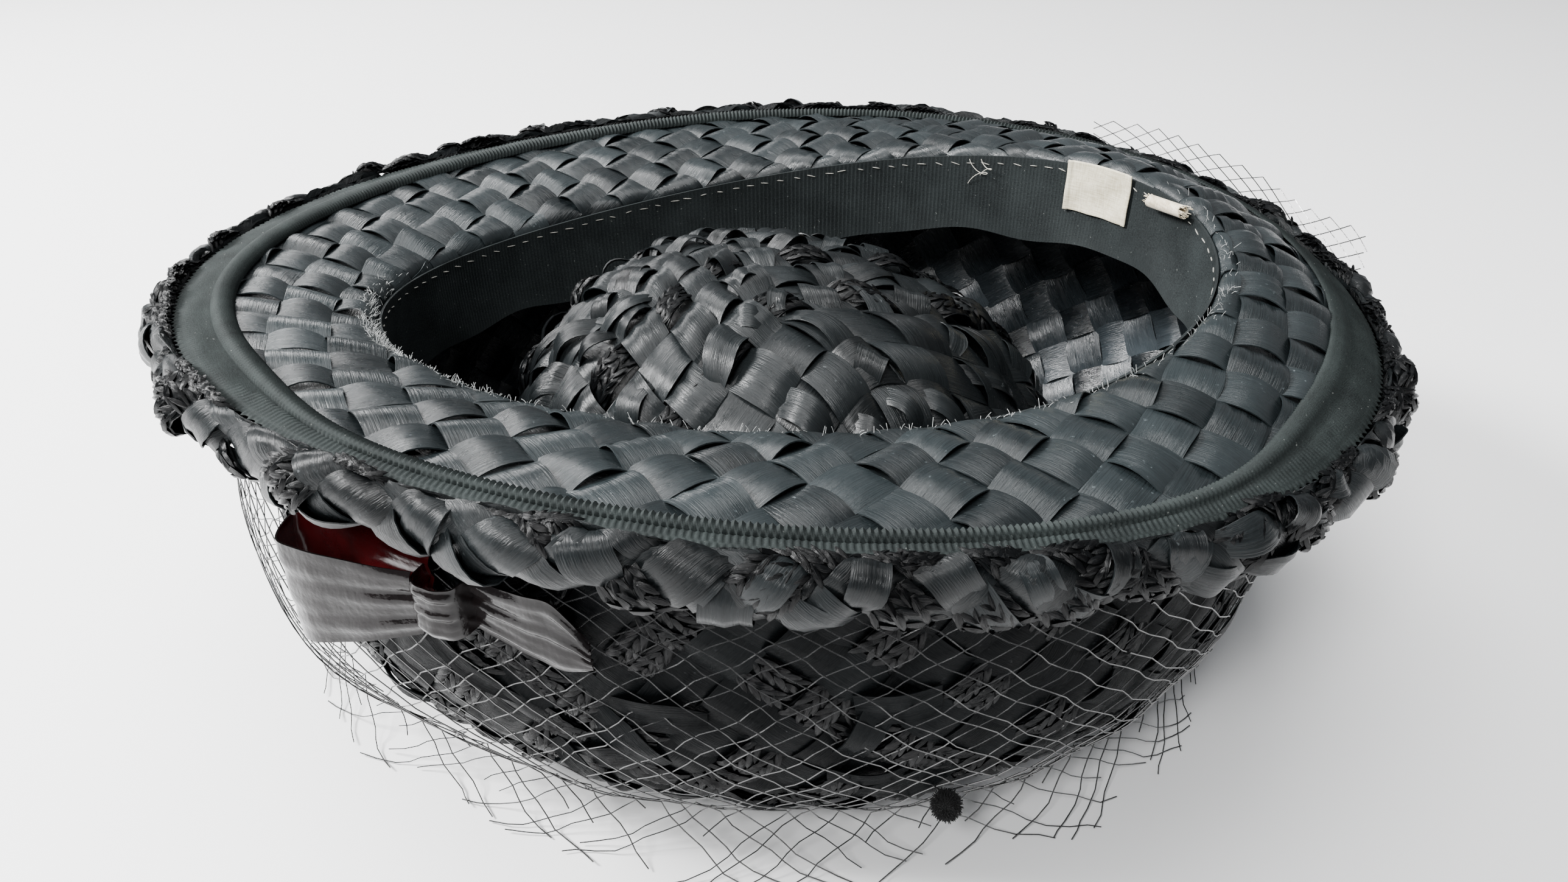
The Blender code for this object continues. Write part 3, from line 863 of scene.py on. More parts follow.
@dataclass(frozen=True)
class Plait:
    """A checkerboard plait of flat strips on a mat that is laid over a surface."""

    cell: float
    lift: float = 0.85
    flat: float = 2.4
    share: float = 1.02
    crown: float = 0.22
    centre: float = -0.9
    along: int = 7
    across: int = 4
    wall: float = 0.3
    seed: float = 1.0
    knitted: int = 0
    knit_share: float = 0.74
    unrest: float = 0.9
    pleats: float = 0.26
    lining: int = 0

    def strip(self, strand: Strand, column: Array, row: Array) -> Array:
        """Which strip of its direction a cell's patch belongs to."""
        return row if strand is Strand.WARP else column

    def is_knitted(self, strand: Strand, strip: Array) -> Array:
        """Which strips are knitted bands and not flat raffia.

        Args:
            strand: The strips' direction.
            strip: Their numbers.

        Returns:
            True for each knitted band.
        """
        if not self.knitted:
            return np.zeros(np.shape(strip), bool)
        return np.floor(chance(strip, self.seed, 3.0 + strand.value) * self.knitted) == 0

    def relief(self, strand: Strand, column: Array, row: Array, along: Array, across: Array) -> Array:
        """Height of a strip above the plait's middle.

        Args:
            strand: The strip's direction.
            column: Column of the cell.
            row: Row of the cell.
            along: Place in the cell along the strip, from -0.5 to 0.5.
            across: Place across the strip, from -0.5 to 0.5.

        Returns:
            Heights in millimetres.
        """
        even = (column + row) % 2 == 0
        over = np.where(even if strand is Strand.WARP else ~even, 1.0, -1.0)
        strip = self.strip(strand, column, row)
        fold = (chance(strip, self.seed, 7.0 + strand.value) - 0.35) * 2.0
        crease = (chance(strip, self.seed, 9.0 + strand.value) - 0.5) * 0.7
        body = 1.0 - np.abs(2.0 * along) ** self.flat
        uneven = 1.0 + self.unrest * (chance(column, row, self.seed, strand.value) - 0.45)
        tilt = (chance(column, row, self.seed + 5.0, strand.value) - 0.5) * 2.4 * self.unrest
        ridge = -np.abs(across - crease) * fold
        bunched = self.pleats * (chance(strip, self.seed, 14.0 + strand.value) < 0.34)
        many = 15.0 + 9.0 * chance(strip, self.seed, 4.0)
        pleat = bunched * np.cos(across * many + 3.0 * along * crease + strip)
        arch = self.crown * (1.0 - (2.0 * across) ** 2)
        wave = over * self.lift * uneven * body
        return wave + (arch + ridge + tilt * across) * body + pleat * (0.35 + 0.65 * body)

    def width(self, strand: Strand, strip: Array, travel: Array) -> Array:
        """Width of a strip as a share of the cell, which wanders along it.

        Args:
            strand: The strip's direction.
            strip: Its number.
            travel: Place along it, in cells.

        Returns:
            Shares.
        """
        own = 0.93 + 0.14 * chance(strip, self.seed, 11.0 + strand.value)
        slow = 0.050 * np.sin(travel * 1.9 + 40.0 * chance(strip, self.seed, 2.0))
        wander = slow + 0.035 * np.sin(travel * 4.3 + strip)
        knit = self.is_knitted(strand, strip)
        return np.where(knit, self.knit_share, own * self.share + wander)

    def build(self, name: str, cells: Array, lay: Lay, *linings: bpy.types.Material) -> bpy.types.Object:
        """Make the flat strips of all cells as one closed-walled piece.

        Args:
            name: Name of the piece.
            cells: Column and row of each cell, one row each.
            lay: Takes mat coordinates and gives points and normals on the surface.
            linings: Finishes of the front and the back, where they differ.

        Returns:
            The plaited object with its strip coordinates and shades.
        """
        points, faces, coords, shades = [], [], [], []
        along = np.linspace(-0.5, 0.5, self.along + 1)[None, :, None]
        across = np.linspace(-0.5, 0.5, self.across + 1)[None, None, :]
        column = cells[:, 0][:, None, None].astype(float)
        row = cells[:, 1][:, None, None].astype(float)
        rows, columns = self.along + 1, self.across + 1
        quad = grid_faces(rows, columns)
        start = 0
        for strand in Strand:
            strip = self.strip(strand, column, row)
            travel = (column if strand is Strand.WARP else row) + 0.5 + along
            width = self.width(strand, strip, travel)
            side = across * width
            if strand is Strand.WARP:
                x, y = travel + 0 * side, row + 0.5 + side
                turned = quad
            else:
                x, y = column + 0.5 + side, travel + 0 * side
                turned = quad[:, ::-1]
            height = self.relief(strand, column, row, along, across)
            place, normal = lay(x * self.cell, y * self.cell)
            place = place + normal * (height + self.centre)[..., None]
            count = len(cells) * rows * columns
            points.append(place.reshape(-1, 3))
            index = start + np.arange(len(cells))[:, None, None] * rows * columns + turned[None]
            faces.append(index.reshape(-1, 4))
            mix = chance(strip, self.seed, 21.0 + strand.value)
            uv = np.stack([travel + 40.0 * mix + 0 * side, side + 9.0 * mix + 0 * travel], axis=-1)
            coords.append(uv.reshape(-1, 2))
            tone = 0.18 + 0.62 * mix + 0 * side + 0 * travel
            tone = tone + 0.16 * (chance(column, row, self.seed, 31.0 + strand.value) - 0.5)
            shades.append(np.where(self.is_knitted(strand, strip), 0.0, tone).reshape(-1) + np.zeros(count))
            start += count
        obj = Bench.mesh(name, np.concatenate(points), np.concatenate(faces))
        for finish in linings:
            obj.data.materials.append(finish)
        self.paint(obj, np.concatenate(coords), np.concatenate(shades))
        Bench.weld(obj, 0.004)
        Bench.modify(obj, "SOLIDIFY", thickness=self.wall * MM, offset=0.0, material_offset=self.lining)
        Bench.smooth(obj, 50.0)
        return obj

    @staticmethod
    def paint(obj: bpy.types.Object, coords: Array, shades: Array) -> None:
        """Store the strip coordinates and the shade of each point.

        Args:
            obj: The mesh object.
            coords: Two coordinates for each point.
            shades: A shade from 0 to 1 for each point.
        """
        data = obj.data
        index = np.empty(len(data.loops), dtype=np.int32)
        data.loops.foreach_get("vertex_index", index)
        layer = data.uv_layers.new(name="strips")
        layer.uv.foreach_set("vector", coords[index].astype(np.float32).ravel())
        tone = data.attributes.new("shade", "FLOAT", "CORNER")
        tone.data.foreach_set("value", shades[index].astype(np.float32))

    @staticmethod
    def stitch(pitch: float, radius: float) -> tuple[Array, Array]:
        """One leg of a stitch: a short bundle that is thick in its middle.

        Args:
            pitch: Distance between stitches along a band.
            radius: Radius of the leg.

        Returns:
            Its points and its triangles.
        """
        sides, rings, fat = 4, (-0.64, 0.10, 0.70), (0.74, 1.0, 0.68)
        turn = np.arange(sides) * TURN / sides
        shape = [
            (t * pitch * 0.86, f * radius * math.cos(a), f * radius * 0.85 * math.sin(a))
            for t, f in zip(rings, fat)
            for a in turn
        ]
        shape = np.array([(-pitch * 0.93, 0, 0), *shape, (pitch * 0.93, 0, 0)])
        tris = []
        last = len(rings) - 1
        for k in range(sides):
            n = (k + 1) % sides
            tris.append((0, 1 + n, 1 + k))
            tris.append((1 + last * sides + k, 1 + last * sides + n, len(shape) - 1))
            for r in range(last):
                a, b = 1 + r * sides + k, 1 + r * sides + n
                c, d = b + sides, a + sides
                tris += [(a, b, c), (a, c, d)]
        return shape, np.array(tris)

    def knit(
        self, name: str, cells: Array, lay: Lay, columns: int = 3, pitch: float = 2.3, radius: float = 0.62
    ) -> bpy.types.Object:
        """Make the stitches of the knitted bands: rows of V shapes of twisted raffia.

        Args:
            name: Name of the piece.
            cells: Column and row of each cell.
            lay: Takes mat coordinates and gives points and normals on the surface.
            columns: Rows of stitches across a band.
            pitch: Distance between stitches along a band.
            radius: Radius of a leg of a stitch.

        Returns:
            The joined stitches.
        """
        shape, tris = self.stitch(pitch, radius)
        stack, lists, coords, shades = [], [], [], []
        start = 0
        steps = max(1, round(self.cell / pitch))
        for strand in Strand:
            strip = self.strip(strand, cells[:, 0], cells[:, 1]).astype(float)
            chosen = cells[self.is_knitted(strand, strip)]
            if not len(chosen):
                continue
            column, row = chosen[:, 0].astype(float), chosen[:, 1].astype(float)
            for step in range(steps):
                for line in range(columns):
                    for leg in (-1.0, 1.0):
                        along = (step + 0.5) / steps - 0.5
                        middle = (line - (columns - 1) / 2) / columns * self.knit_share
                        across = middle + leg * 0.23 * self.knit_share / columns
                        key = column * 7.0 + step * 1.7 + line * 3.1 + leg
                        along = along + 0.05 * (chance(key, row, self.seed) - 0.5)
                        level = np.full_like(column, across)
                        relief = self.relief(strand, column, row, along, level)
                        height = relief + self.centre + radius * 0.55
                        if strand is Strand.WARP:
                            x, y = column + 0.5 + along, row + 0.5 + level
                            ahead = (x + 0.05, y)
                        else:
                            x, y = column + 0.5 + level, row + 0.5 + along
                            ahead = (x, y + 0.05)
                        place, normal = lay(x * self.cell, y * self.cell)
                        front, _ = lay(ahead[0] * self.cell, ahead[1] * self.cell)
                        rise = self.relief(strand, column, row, along + 0.05, level) - relief
                        forward = front - place + normal * rise[:, None]
                        size = np.linalg.norm(forward, axis=1, keepdims=True)
                        keep = (size[:, 0] > 0.12) & (relief > -0.15)
                        forward = forward / np.maximum(size, 1e-6)
                        sideways = np.cross(normal, forward)
                        lean = leg * (0.42 + 0.2 * (chance(key, row, 5.0) - 0.5))
                        reach = forward * math.cos(0.42) + sideways * np.reshape(lean, (-1, 1))
                        reach /= np.linalg.norm(reach, axis=1, keepdims=True)
                        broad = np.cross(normal, reach)
                        centre = place + normal * height[:, None]
                        wide = (0.85 + 0.35 * chance(key, row, 8.0))[:, None, None]
                        body = centre[:, None] + reach[:, None] * shape[None, :, :1]
                        body = body + broad[:, None] * shape[None, :, 1:2] * wide
                        body = (body + normal[:, None] * shape[None, :, 2:] * wide)[keep]
                        if not len(body):
                            continue
                        stack.append(body.reshape(-1, 3))
                        index = start + np.arange(len(body))[:, None, None] * len(shape) + tris[None]
                        lists.append(index.reshape(-1, 3))
                        along_uv = shape[None, :, 0] / 10.0 + chance(key, row, 2.0)[keep][:, None] * 30.0
                        across_uv = np.arctan2(shape[:, 2], shape[:, 1])[None] * 0.06 + 0 * along_uv
                        coords.append(np.stack([along_uv, across_uv], axis=-1).reshape(-1, 2))
                        tone = 0.1 + 0.5 * chance(key, row, 4.0)[keep][:, None] + 0 * along_uv
                        shades.append(tone.reshape(-1))
                        start += len(body) * len(shape)
        obj = Bench.mesh(name, np.concatenate(stack), np.concatenate(lists))
        self.paint(obj, np.concatenate(coords), np.concatenate(shades))
        Bench.smooth(obj, 80.0)
        return obj


@dataclass(frozen=True)
class LooseStrips:
    """Short strip ends and folds that ride over the plait at odd angles."""

    count: int
    seed: float
    length: tuple[float, float] = (11.0, 21.0)
    width: tuple[float, float] = (4.5, 9.0)
    above: float = 0.9
    arch: float = 1.5
    wall: float = 0.25
    rows: int = 11
    columns: int = 5

    def build(self, name: str, spots: Array, lay: Lay) -> bpy.types.Object:
        """Make the strips at some of the spots.

        Args:
            name: Name of the piece.
            spots: Mat coordinates to choose from, one row each.
            lay: Takes mat coordinates and gives points and normals.

        Returns:
            The joined strips with their thickness.
        """
        order = np.argsort(chance(spots[:, 0], spots[:, 1], self.seed))[: self.count]
        spots = spots[order]
        key = np.arange(len(spots), dtype=float)[:, None, None]
        along = np.linspace(-0.5, 0.5, self.rows)[None, :, None]
        across = np.linspace(-0.5, 0.5, self.columns)[None, None, :]

        def pick(number: float) -> Array:
            """A repeatable number from 0 to 1 for each strip."""
            return chance(key, self.seed, number)

        size = self.length[0] + (self.length[1] - self.length[0]) * pick(1.0)
        wide = self.width[0] + (self.width[1] - self.width[0]) * pick(2.0)
        ahead = 2.0 * along * np.sign(pick(3.0) - 0.5)
        point = 1.0 - 0.75 * np.clip(ahead - 0.35, 0, 1) * (pick(4.0) > 0.4)
        twist = (pick(5.0) - 0.5) * 1.6
        turn = TURN * pick(6.0) + (pick(7.0) - 0.5) * 0.9 * along
        local_x, local_y = along * size, across * wide * point
        x = spots[:, 0][:, None, None] + local_x * np.cos(turn) - local_y * np.sin(turn)
        y = spots[:, 1][:, None, None] + local_x * np.sin(turn) + local_y * np.cos(turn)
        body = 1.0 - (2.0 * along) ** 2
        rise = self.above * (0.15 + 0.85 * body) + self.arch * (0.4 + 0.6 * pick(8.0)) * body**1.5
        rise = rise + twist * across * wide * 0.22 * body
        rise = rise + 0.30 * np.cos(across * (9.0 + 9.0 * pick(9.0)) + key)
        place, normal = lay(x, y)
        place = place + normal * rise[..., None]
        quad = grid_faces(self.rows, self.columns)
        faces = np.arange(len(spots))[:, None, None] * self.rows * self.columns + quad[None]
        obj = Bench.mesh(name, place.reshape(-1, 3), faces.reshape(-1, 4))
        u, v = local_x / 10.0 + 17.0 * pick(10.0), local_y / 10.0 + 5.0 * pick(11.0)
        uv = np.stack(np.broadcast_arrays(u, v), axis=-1)
        tone = 0.2 + 0.75 * pick(12.0) + 0 * local_x + 0 * local_y
        Plait.paint(obj, uv.reshape(-1, 2), tone.reshape(-1))
        Bench.modify(obj, "SOLIDIFY", thickness=self.wall * MM, offset=0.0)
        Bench.smooth(obj, 50.0)
        return obj


class Laid:
    """Lays a mat of plait on a surface given by two parameters."""

    def __init__(self, surface: Callable[[Array, Array], Array], flip: float = 1.0) -> None:
        """Keep the surface.

        Args:
            surface: Gives points for an angle and a second parameter.
            flip: 1 or -1, so that normals point to the side seen.
        """
        self.surface = surface
        self.flip = flip

    def on(self, angle: Array, travel: Array, step: float = 0.4) -> tuple[Array, Array]:
        """Points and unit normals.

        Args:
            angle: Angles in radians.
            travel: The second parameter.
            step: How far apart the points are that give a normal.

        Returns:
            Points and normals.
        """
        place = self.surface(angle, travel)
        swing = step / 100.0
        turn = self.surface(angle + swing, travel) - self.surface(angle - swing, travel)
        move = self.surface(angle, travel + step) - self.surface(angle, travel - step)
        normal = np.cross(turn, move) * self.flip
        size = np.linalg.norm(normal, axis=-1, keepdims=True)
        return place, normal / np.maximum(size, 1e-9)


class RoundScale:
    """Turns distance round a ring into an angle and back."""

    def __init__(self, line: Callable[[Array], Array]) -> None:
        """Measure a closed line.

        Args:
            line: Gives points for angles in radians.
        """
        self.angles = np.linspace(-math.pi, math.pi, 1441)
        self.table = arc_table(line(self.angles))
        self.length = float(self.table[-1])
        self.zero = float(np.interp(0.0, self.angles, self.table))

    def angle(self, distance: Array) -> Array:
        """Angle at a distance round from angle 0, for any number of turns.

        Args:
            distance: Distances in millimetres.

        Returns:
            Angles in radians.
        """
        whole = np.asarray(distance, float) + self.zero
        turns = np.floor(whole / self.length)
        return np.interp(whole - turns * self.length, self.table, self.angles) + turns * TURN


@dataclass
class Facing:
    """The plaited under-brim that faces up, folded down into the opening."""

    outer: float = 2.0
    down: float = 8.0
    middle_inset: float = 24.0

    def __post_init__(self) -> None:
        """Measure the middle line of the facing."""
        self.scale = RoundScale(lambda a: FORM.facing(a, np.full(np.shape(a), self.middle_inset)))
        self.radius = self.scale.length / math.pi
        self.laid = Laid(FORM.facing_skin)

    def lay(self, x: Array, y: Array) -> tuple[Array, Array]:
        """Lay the mat, of which half a turn makes one turn of the brim.

        Args:
            x: Mat coordinates.
            y: Mat coordinates.

        Returns:
            Points and normals, which are short where the plait lies flat.
        """
        reach = np.hypot(x, y)
        half = np.arctan2(y, x)
        angle = self.scale.angle(half * 2.0 / TURN * self.scale.length)
        inset = self.middle_inset - (reach - self.radius)
        inner = FORM.facing_width(angle) - FORM.facing_roll + self.down
        place, normal = self.laid.on(angle, np.clip(inset, self.outer, inner))
        fold = np.clip((inset - FORM.facing_width(angle) + 4.0) / 4.0, 0, 1)
        under = np.clip((FORM.ribbon_width * FORM.ribbon_share(angle) + 0.6 - inset) / 1.6, 0, 1)
        return place, normal * ((1.0 - 0.55 * fold) * (1.0 - 0.68 * under))[..., None]

    def cells(self, cell: float) -> Array:
        """Cells of the mat that touch the facing.

        Args:
            cell: Size of a cell.

        Returns:
            Column and row of each.
        """
        reach = int((self.radius + 40.0) / cell) + 2
        column, row = np.meshgrid(np.arange(0, reach), np.arange(-reach, reach), indexing="ij")
        column, row = column.ravel(), row.ravel()
        middle = np.hypot((column + 0.5) * cell, (row + 0.5) * cell)
        half = np.arctan2(row + 0.5, column + 0.5)
        angle = self.scale.angle(half * 2.0 / TURN * self.scale.length)
        inset = self.middle_inset - (middle - self.radius)
        inner = FORM.facing_width(angle) - FORM.facing_roll + self.down
        keep = (inset > self.outer - 0.6 * cell) & (inset < inner + 0.6 * cell)
        return np.stack([column[keep], row[keep]], axis=1)

    def build(self, finishes: Finishes) -> None:
        """Make and dress the facing.

        Args:
            finishes: The finishes.
        """
        plait = Plait(10.6, lift=1.15, centre=-0.65, along=7, across=6, seed=4.0, wall=0.28, flat=2.0)
        obj = plait.build("under_brim_plait", self.cells(plait.cell), self.lay)
        Bench.dress(obj, finishes.facing, Slot.FACING, "under_brim")


@dataclass
class RingPlait:
    """A plait whose strips run round a ring at a slant and close on themselves."""

    laid: Laid
    scale: RoundScale
    low: float
    high: float
    steps_round: int
    steps_up: int

    def __post_init__(self) -> None:
        """Work out the cell and the slant."""
        self.cell = self.scale.length / math.hypot(self.steps_round, self.steps_up)
        self.slant = math.atan2(self.steps_up, self.steps_round)

    def to_ring(self, x: Array, y: Array) -> tuple[Array, Array]:
        """Distance round and distance up for mat coordinates."""
        cos, sin = math.cos(self.slant), math.sin(self.slant)
        return x * cos + y * sin, -x * sin + y * cos

    def lay(self, x: Array, y: Array) -> tuple[Array, Array]:
        """Points and normals for mat coordinates."""
        way, rise = self.to_ring(x, y)
        return self.laid.on(self.scale.angle(way), np.clip(rise, self.low, self.high))

    def cells(self) -> Array:
        """Cells with their middles on one turn of the ring.

        Returns:
            Column and row of each.
        """
        reach = int((self.scale.length + self.high + 60.0) / self.cell) + 2
        column, row = np.meshgrid(np.arange(-reach, reach), np.arange(-reach, reach), indexing="ij")
        column, row = column.ravel(), row.ravel()
        way, rise = self.to_ring((column + 0.5) * self.cell, (row + 0.5) * self.cell)
        keep = (way >= -0.001) & (way < self.scale.length - 0.001)
        keep &= (rise > self.low - 0.7 * self.cell) & (rise < self.high + 0.7 * self.cell)
        return np.stack([column[keep], row[keep]], axis=1)


@dataclass
class BrimEdge:
    """The braid that rolls round the brim: flat strips crossed by knitted bands."""

    reach: float = 5.5
    depth: float = 10.0
    wave: float = 1.2
    waves: int = 20
    way: float = 24.5
    folds: tuple[tuple[float, float, float, float], ...] = (
        (-0.62, 1.05, 0.0, 0.5),
        (0.60, 0.90, 0.5, 1.0),
        (0.82, 0.45, 1.0, 0.5),
        (0.62, -0.02, 1.0, 0.0),
    )

    def skin(self, angle: Array, travel: Array) -> Array:
        """Points along the braid's cross-section.

        Args:
            angle: Angles in radians.
            travel: Distance along the section from the crown's wall.

        Returns:
            Points.
        """
        wave = self.wave * np.cos(self.waves * angle)
        sag = self.wave * np.sin(self.waves * angle)
        low = -self.depth + 1.0
        knots = [(FORM.gap - FORM.crown_inset + 0 * wave, low + 0 * wave)]
        knots += [(self.reach * f[0] + wave * f[2], low * f[1] + sag * f[3]) for f in self.folds]
        knots.append((1.3 + 0 * wave, 1.0 + 0 * wave))
        knots = [np.broadcast_arrays(*knot, travel)[:2] for knot in knots]
        share = np.clip(travel / self.way, -0.08, 1.08) * (len(knots) - 1)
        index = np.clip(np.floor(share), 0, len(knots) - 2).astype(int)
        part = share - index
        stack = np.array([[k[0], k[1]] for k in knots])

        def knot(number: Array) -> Array:
            """The knots with these numbers, held at the ends."""
            held = np.clip(number, 0, len(knots) - 1)[None, None]
            return np.take_along_axis(stack, held, axis=0)[0]

        a, b, c, d = knot(index - 1), knot(index), knot(index + 1), knot(index + 2)
        bend, sway = 2 * a - 5 * b + 4 * c - d, 3 * b - a - 3 * c + d
        line = 0.5 * ((2 * b) + (c - a) * part + bend * part**2 + sway * part**3)
        return BOUND.at(angle, line[0], line[1])

    def build(self, finishes: Finishes) -> None:
        """Make the strips and the stitches of the braid.

        Args:
            finishes: The finishes.
        """
        scale = RoundScale(lambda a: BOUND.at(a, 3.0, -6.0))
        ring = RingPlait(Laid(self.skin), scale, 0.5, 24.3, 60, 58)
        plait = Plait(
            ring.cell, lift=1.1, centre=0.15, along=5, across=5, seed=9.0, knitted=2, knit_share=0.98,
            crown=0.45, unrest=1.4, share=1.08,
        )
        cells = ring.cells()
        strips = plait.build("brim_edge_plait", cells, ring.lay)
        Bench.dress(strips, finishes.braid, Slot.BRAID, "brim_edge")
        spots = (cells + 0.5) * ring.cell
        rise = ring.to_ring(spots[:, 0], spots[:, 1])[1]
        spots = spots[(rise > 7.0) & (rise < 20.0)]
        loose = LooseStrips(84, 11.0, above=1.2, arch=2.0, length=(9.0, 17.0))
        ends = loose.build("brim_edge_ends", spots, ring.lay)
        Bench.dress(ends, finishes.braid, Slot.BRAID)
        knit = plait.knit("brim_edge_knit", cells, ring.lay, columns=3, pitch=2.5, radius=0.74)
        Bench.dress(knit, finishes.stitch, Slot.BRAID)


@dataclass
class Crown:
    """The crown: its bowl-shaped wall, the ring it rests on and the pushed-in top."""

    wall_columns: int = 55
    wall_rise: int = 41
    squeeze: float = 0.27
    tip_turn: float = 0.62
    land: float = 5.0

    def __post_init__(self) -> None:
        """Measure one wall line and one mound line."""
        turn = np.linspace(0.0, math.pi / 2, 400)
        steady = np.full_like(turn, 0.6)
        top = FORM.wall_top(steady)[:, 2]
        line = FORM.wall(steady, top * (1.0 - np.cos(turn)))
        self.wall_turn = turn
        self.wall_arc = arc_table(line)
        self.wall_length = float(self.wall_arc[-1])
        mound = FORM.mound(steady, turn[::-1])
        self.mound_turn = turn[::-1]
        self.mound_arc = arc_table(mound)
        self.mound_length = float(self.mound_arc[-1])

    def wall_skin(self, angle: Array, rise: Array) -> Array:
        """Points on the land and the wall.

        Args:
            angle: Angles in radians.
            rise: Distance up from the wall's foot, less than 0 on the land.

        Returns:
            Points.
        """
        turn = np.interp(rise, self.wall_arc, self.wall_turn)
        top = FORM.wall_top(angle)[..., 2]
        wall = FORM.wall(angle, top * (1.0 - np.cos(turn)))
        share = np.clip(1.0 + rise / self.land, -0.2, 1.0)[..., None]
        land = FOOT_INNER.at(angle) * (1 - share) + FOOT.at(angle) * share
        return np.where((rise < 0)[..., None], land, wall)

    def mound_skin(self, angle: Array, travel: Array) -> Array:
        """Points on the pushed-in top, by distance from its peak."""
        return FORM.mound(angle, np.interp(travel, self.mound_arc, self.mound_turn))

    def lay_mound(self, x: Array, y: Array) -> tuple[Array, Array]:
        """Lay the tip's mat on the pushed-in top.

        Args:
            x: Mat coordinates from the peak.
            y: Mat coordinates from the peak.

        Returns:
            Points and normals.
        """
        x, y = x + 2.6 * np.sin(0.105 * y + 0.7), y + 2.6 * np.sin(0.095 * x + 2.1)
        reach = np.maximum(np.hypot(x, y), 0.05)
        angle = np.arctan2(y, x) + self.tip_turn
        table = self.mound_arc * (1.0 - self.squeeze * self.mound_arc / self.mound_length)
        travel = np.interp(reach, table, self.mound_arc)
        return Laid(self.mound_skin, -1.0).on(angle, np.clip(travel, 0.5, self.mound_length - 0.5))

    def build(self, finishes: Finishes) -> None:
        """Make the wall and the pushed-in top."""
        self.build_wall(finishes)
        self.build_tip(finishes)

    def build_wall(self, finishes: Finishes) -> None:
        """Make the wall with its knitted bands and loose ends.

        Args:
            finishes: The finishes.
        """
        scale = RoundScale(lambda a: FORM.wall(a, np.full(np.shape(a), 55.0)))
        surface = Laid(self.wall_skin)
        ring = RingPlait(surface, scale, -self.land, self.wall_length, self.wall_columns, self.wall_rise)
        plait = Plait(
            ring.cell, lift=0.9, centre=-1.0, along=4, across=3, seed=15.0, knitted=3, knit_share=0.92,
            share=1.10, lining=1,
        )
        cells = ring.cells()
        # Outer face: painted shade in the near-black crown finish; inner face: painted light in the lighter
        # inside finish.
        wall = plait.build("crown_wall_plait", cells, ring.lay, finishes.crown, finishes.inside)
        self.dress(wall, finishes.crown, "crown")
        bands = plait.knit("crown_wall_knit", cells, ring.lay, columns=2, pitch=3.0, radius=0.8)
        self.dress(bands, finishes.stitch)
        spots = (cells + 0.5) * ring.cell
        rise = ring.to_ring(spots[:, 0], spots[:, 1])[1]
        spots = spots[(rise > 14.0) & (rise < self.wall_length - 22.0)]
        loose = LooseStrips(90, 6.0, above=0.6, arch=1.6, length=(14.0, 26.0))
        self.dress(loose.build("crown_wall_ends", spots, ring.lay), finishes.crown)

    def build_tip(self, finishes: Finishes) -> None:
        """Make the pushed-in top with its knitted bands and loose ends.

        Args:
            finishes: The finishes.
        """
        reach = self.mound_length * (1.0 - self.squeeze)
        plait = Plait(
            10.6, lift=1.25, centre=1.0, along=6, across=5, seed=23.0, knitted=7, unrest=2.0, pleats=0.46
        )
        count = int(reach / plait.cell) + 2
        column, row = np.meshgrid(np.arange(-count, count), np.arange(-count, count), indexing="ij")
        column, row = column.ravel(), row.ravel()
        keep = np.hypot(column + 0.5, row + 0.5) * plait.cell < reach + 0.4 * plait.cell
        cells = np.stack([column[keep], row[keep]], axis=1)
        tip = plait.build("crown_tip_plait", cells, self.lay_mound)
        self.dress(tip, finishes.tip, "crown")
        spots = (cells + 0.5) * plait.cell
        spots = spots[np.hypot(spots[:, 0], spots[:, 1]) < reach * 0.8]
        loose = LooseStrips(84, 3.0, above=2.9, arch=2.0, length=(9.0, 18.0), width=(2.8, 7.5))
        self.dress(loose.build("crown_tip_ends", spots, self.lay_mound), finishes.tip)
        bands = plait.knit("crown_tip_knit", cells, self.lay_mound, columns=2, pitch=2.8, radius=0.75)
        self.dress(bands, finishes.stitch)

    def dress(self, obj: bpy.types.Object, finish: bpy.types.Material, *nodes: str) -> None:
        """Rest a piece of the crown on the surface and dress it."""
        self.rest(obj)
        Bench.dress(obj, finish, Slot.RAFFIA, *nodes)

    @staticmethod
    def rest(obj: bpy.types.Object) -> None:
        """Flatten what would reach below the surface that the hat lies on.

        Args:
            obj: The piece.
        """
        data = obj.data
        points = np.empty(len(data.vertices) * 3, dtype=np.float32)
        data.vertices.foreach_get("co", points)
        points = points.reshape(-1, 3)
        low = 0.8 * MM
        height = points[:, 2]
        pressed = 0.1 * MM + 0.7 * MM * np.exp((np.minimum(height, low) - low) / (1.2 * MM))
        points[:, 2] = np.where(height < low, pressed, height)
        data.vertices.foreach_set("co", points.ravel())
        data.update()


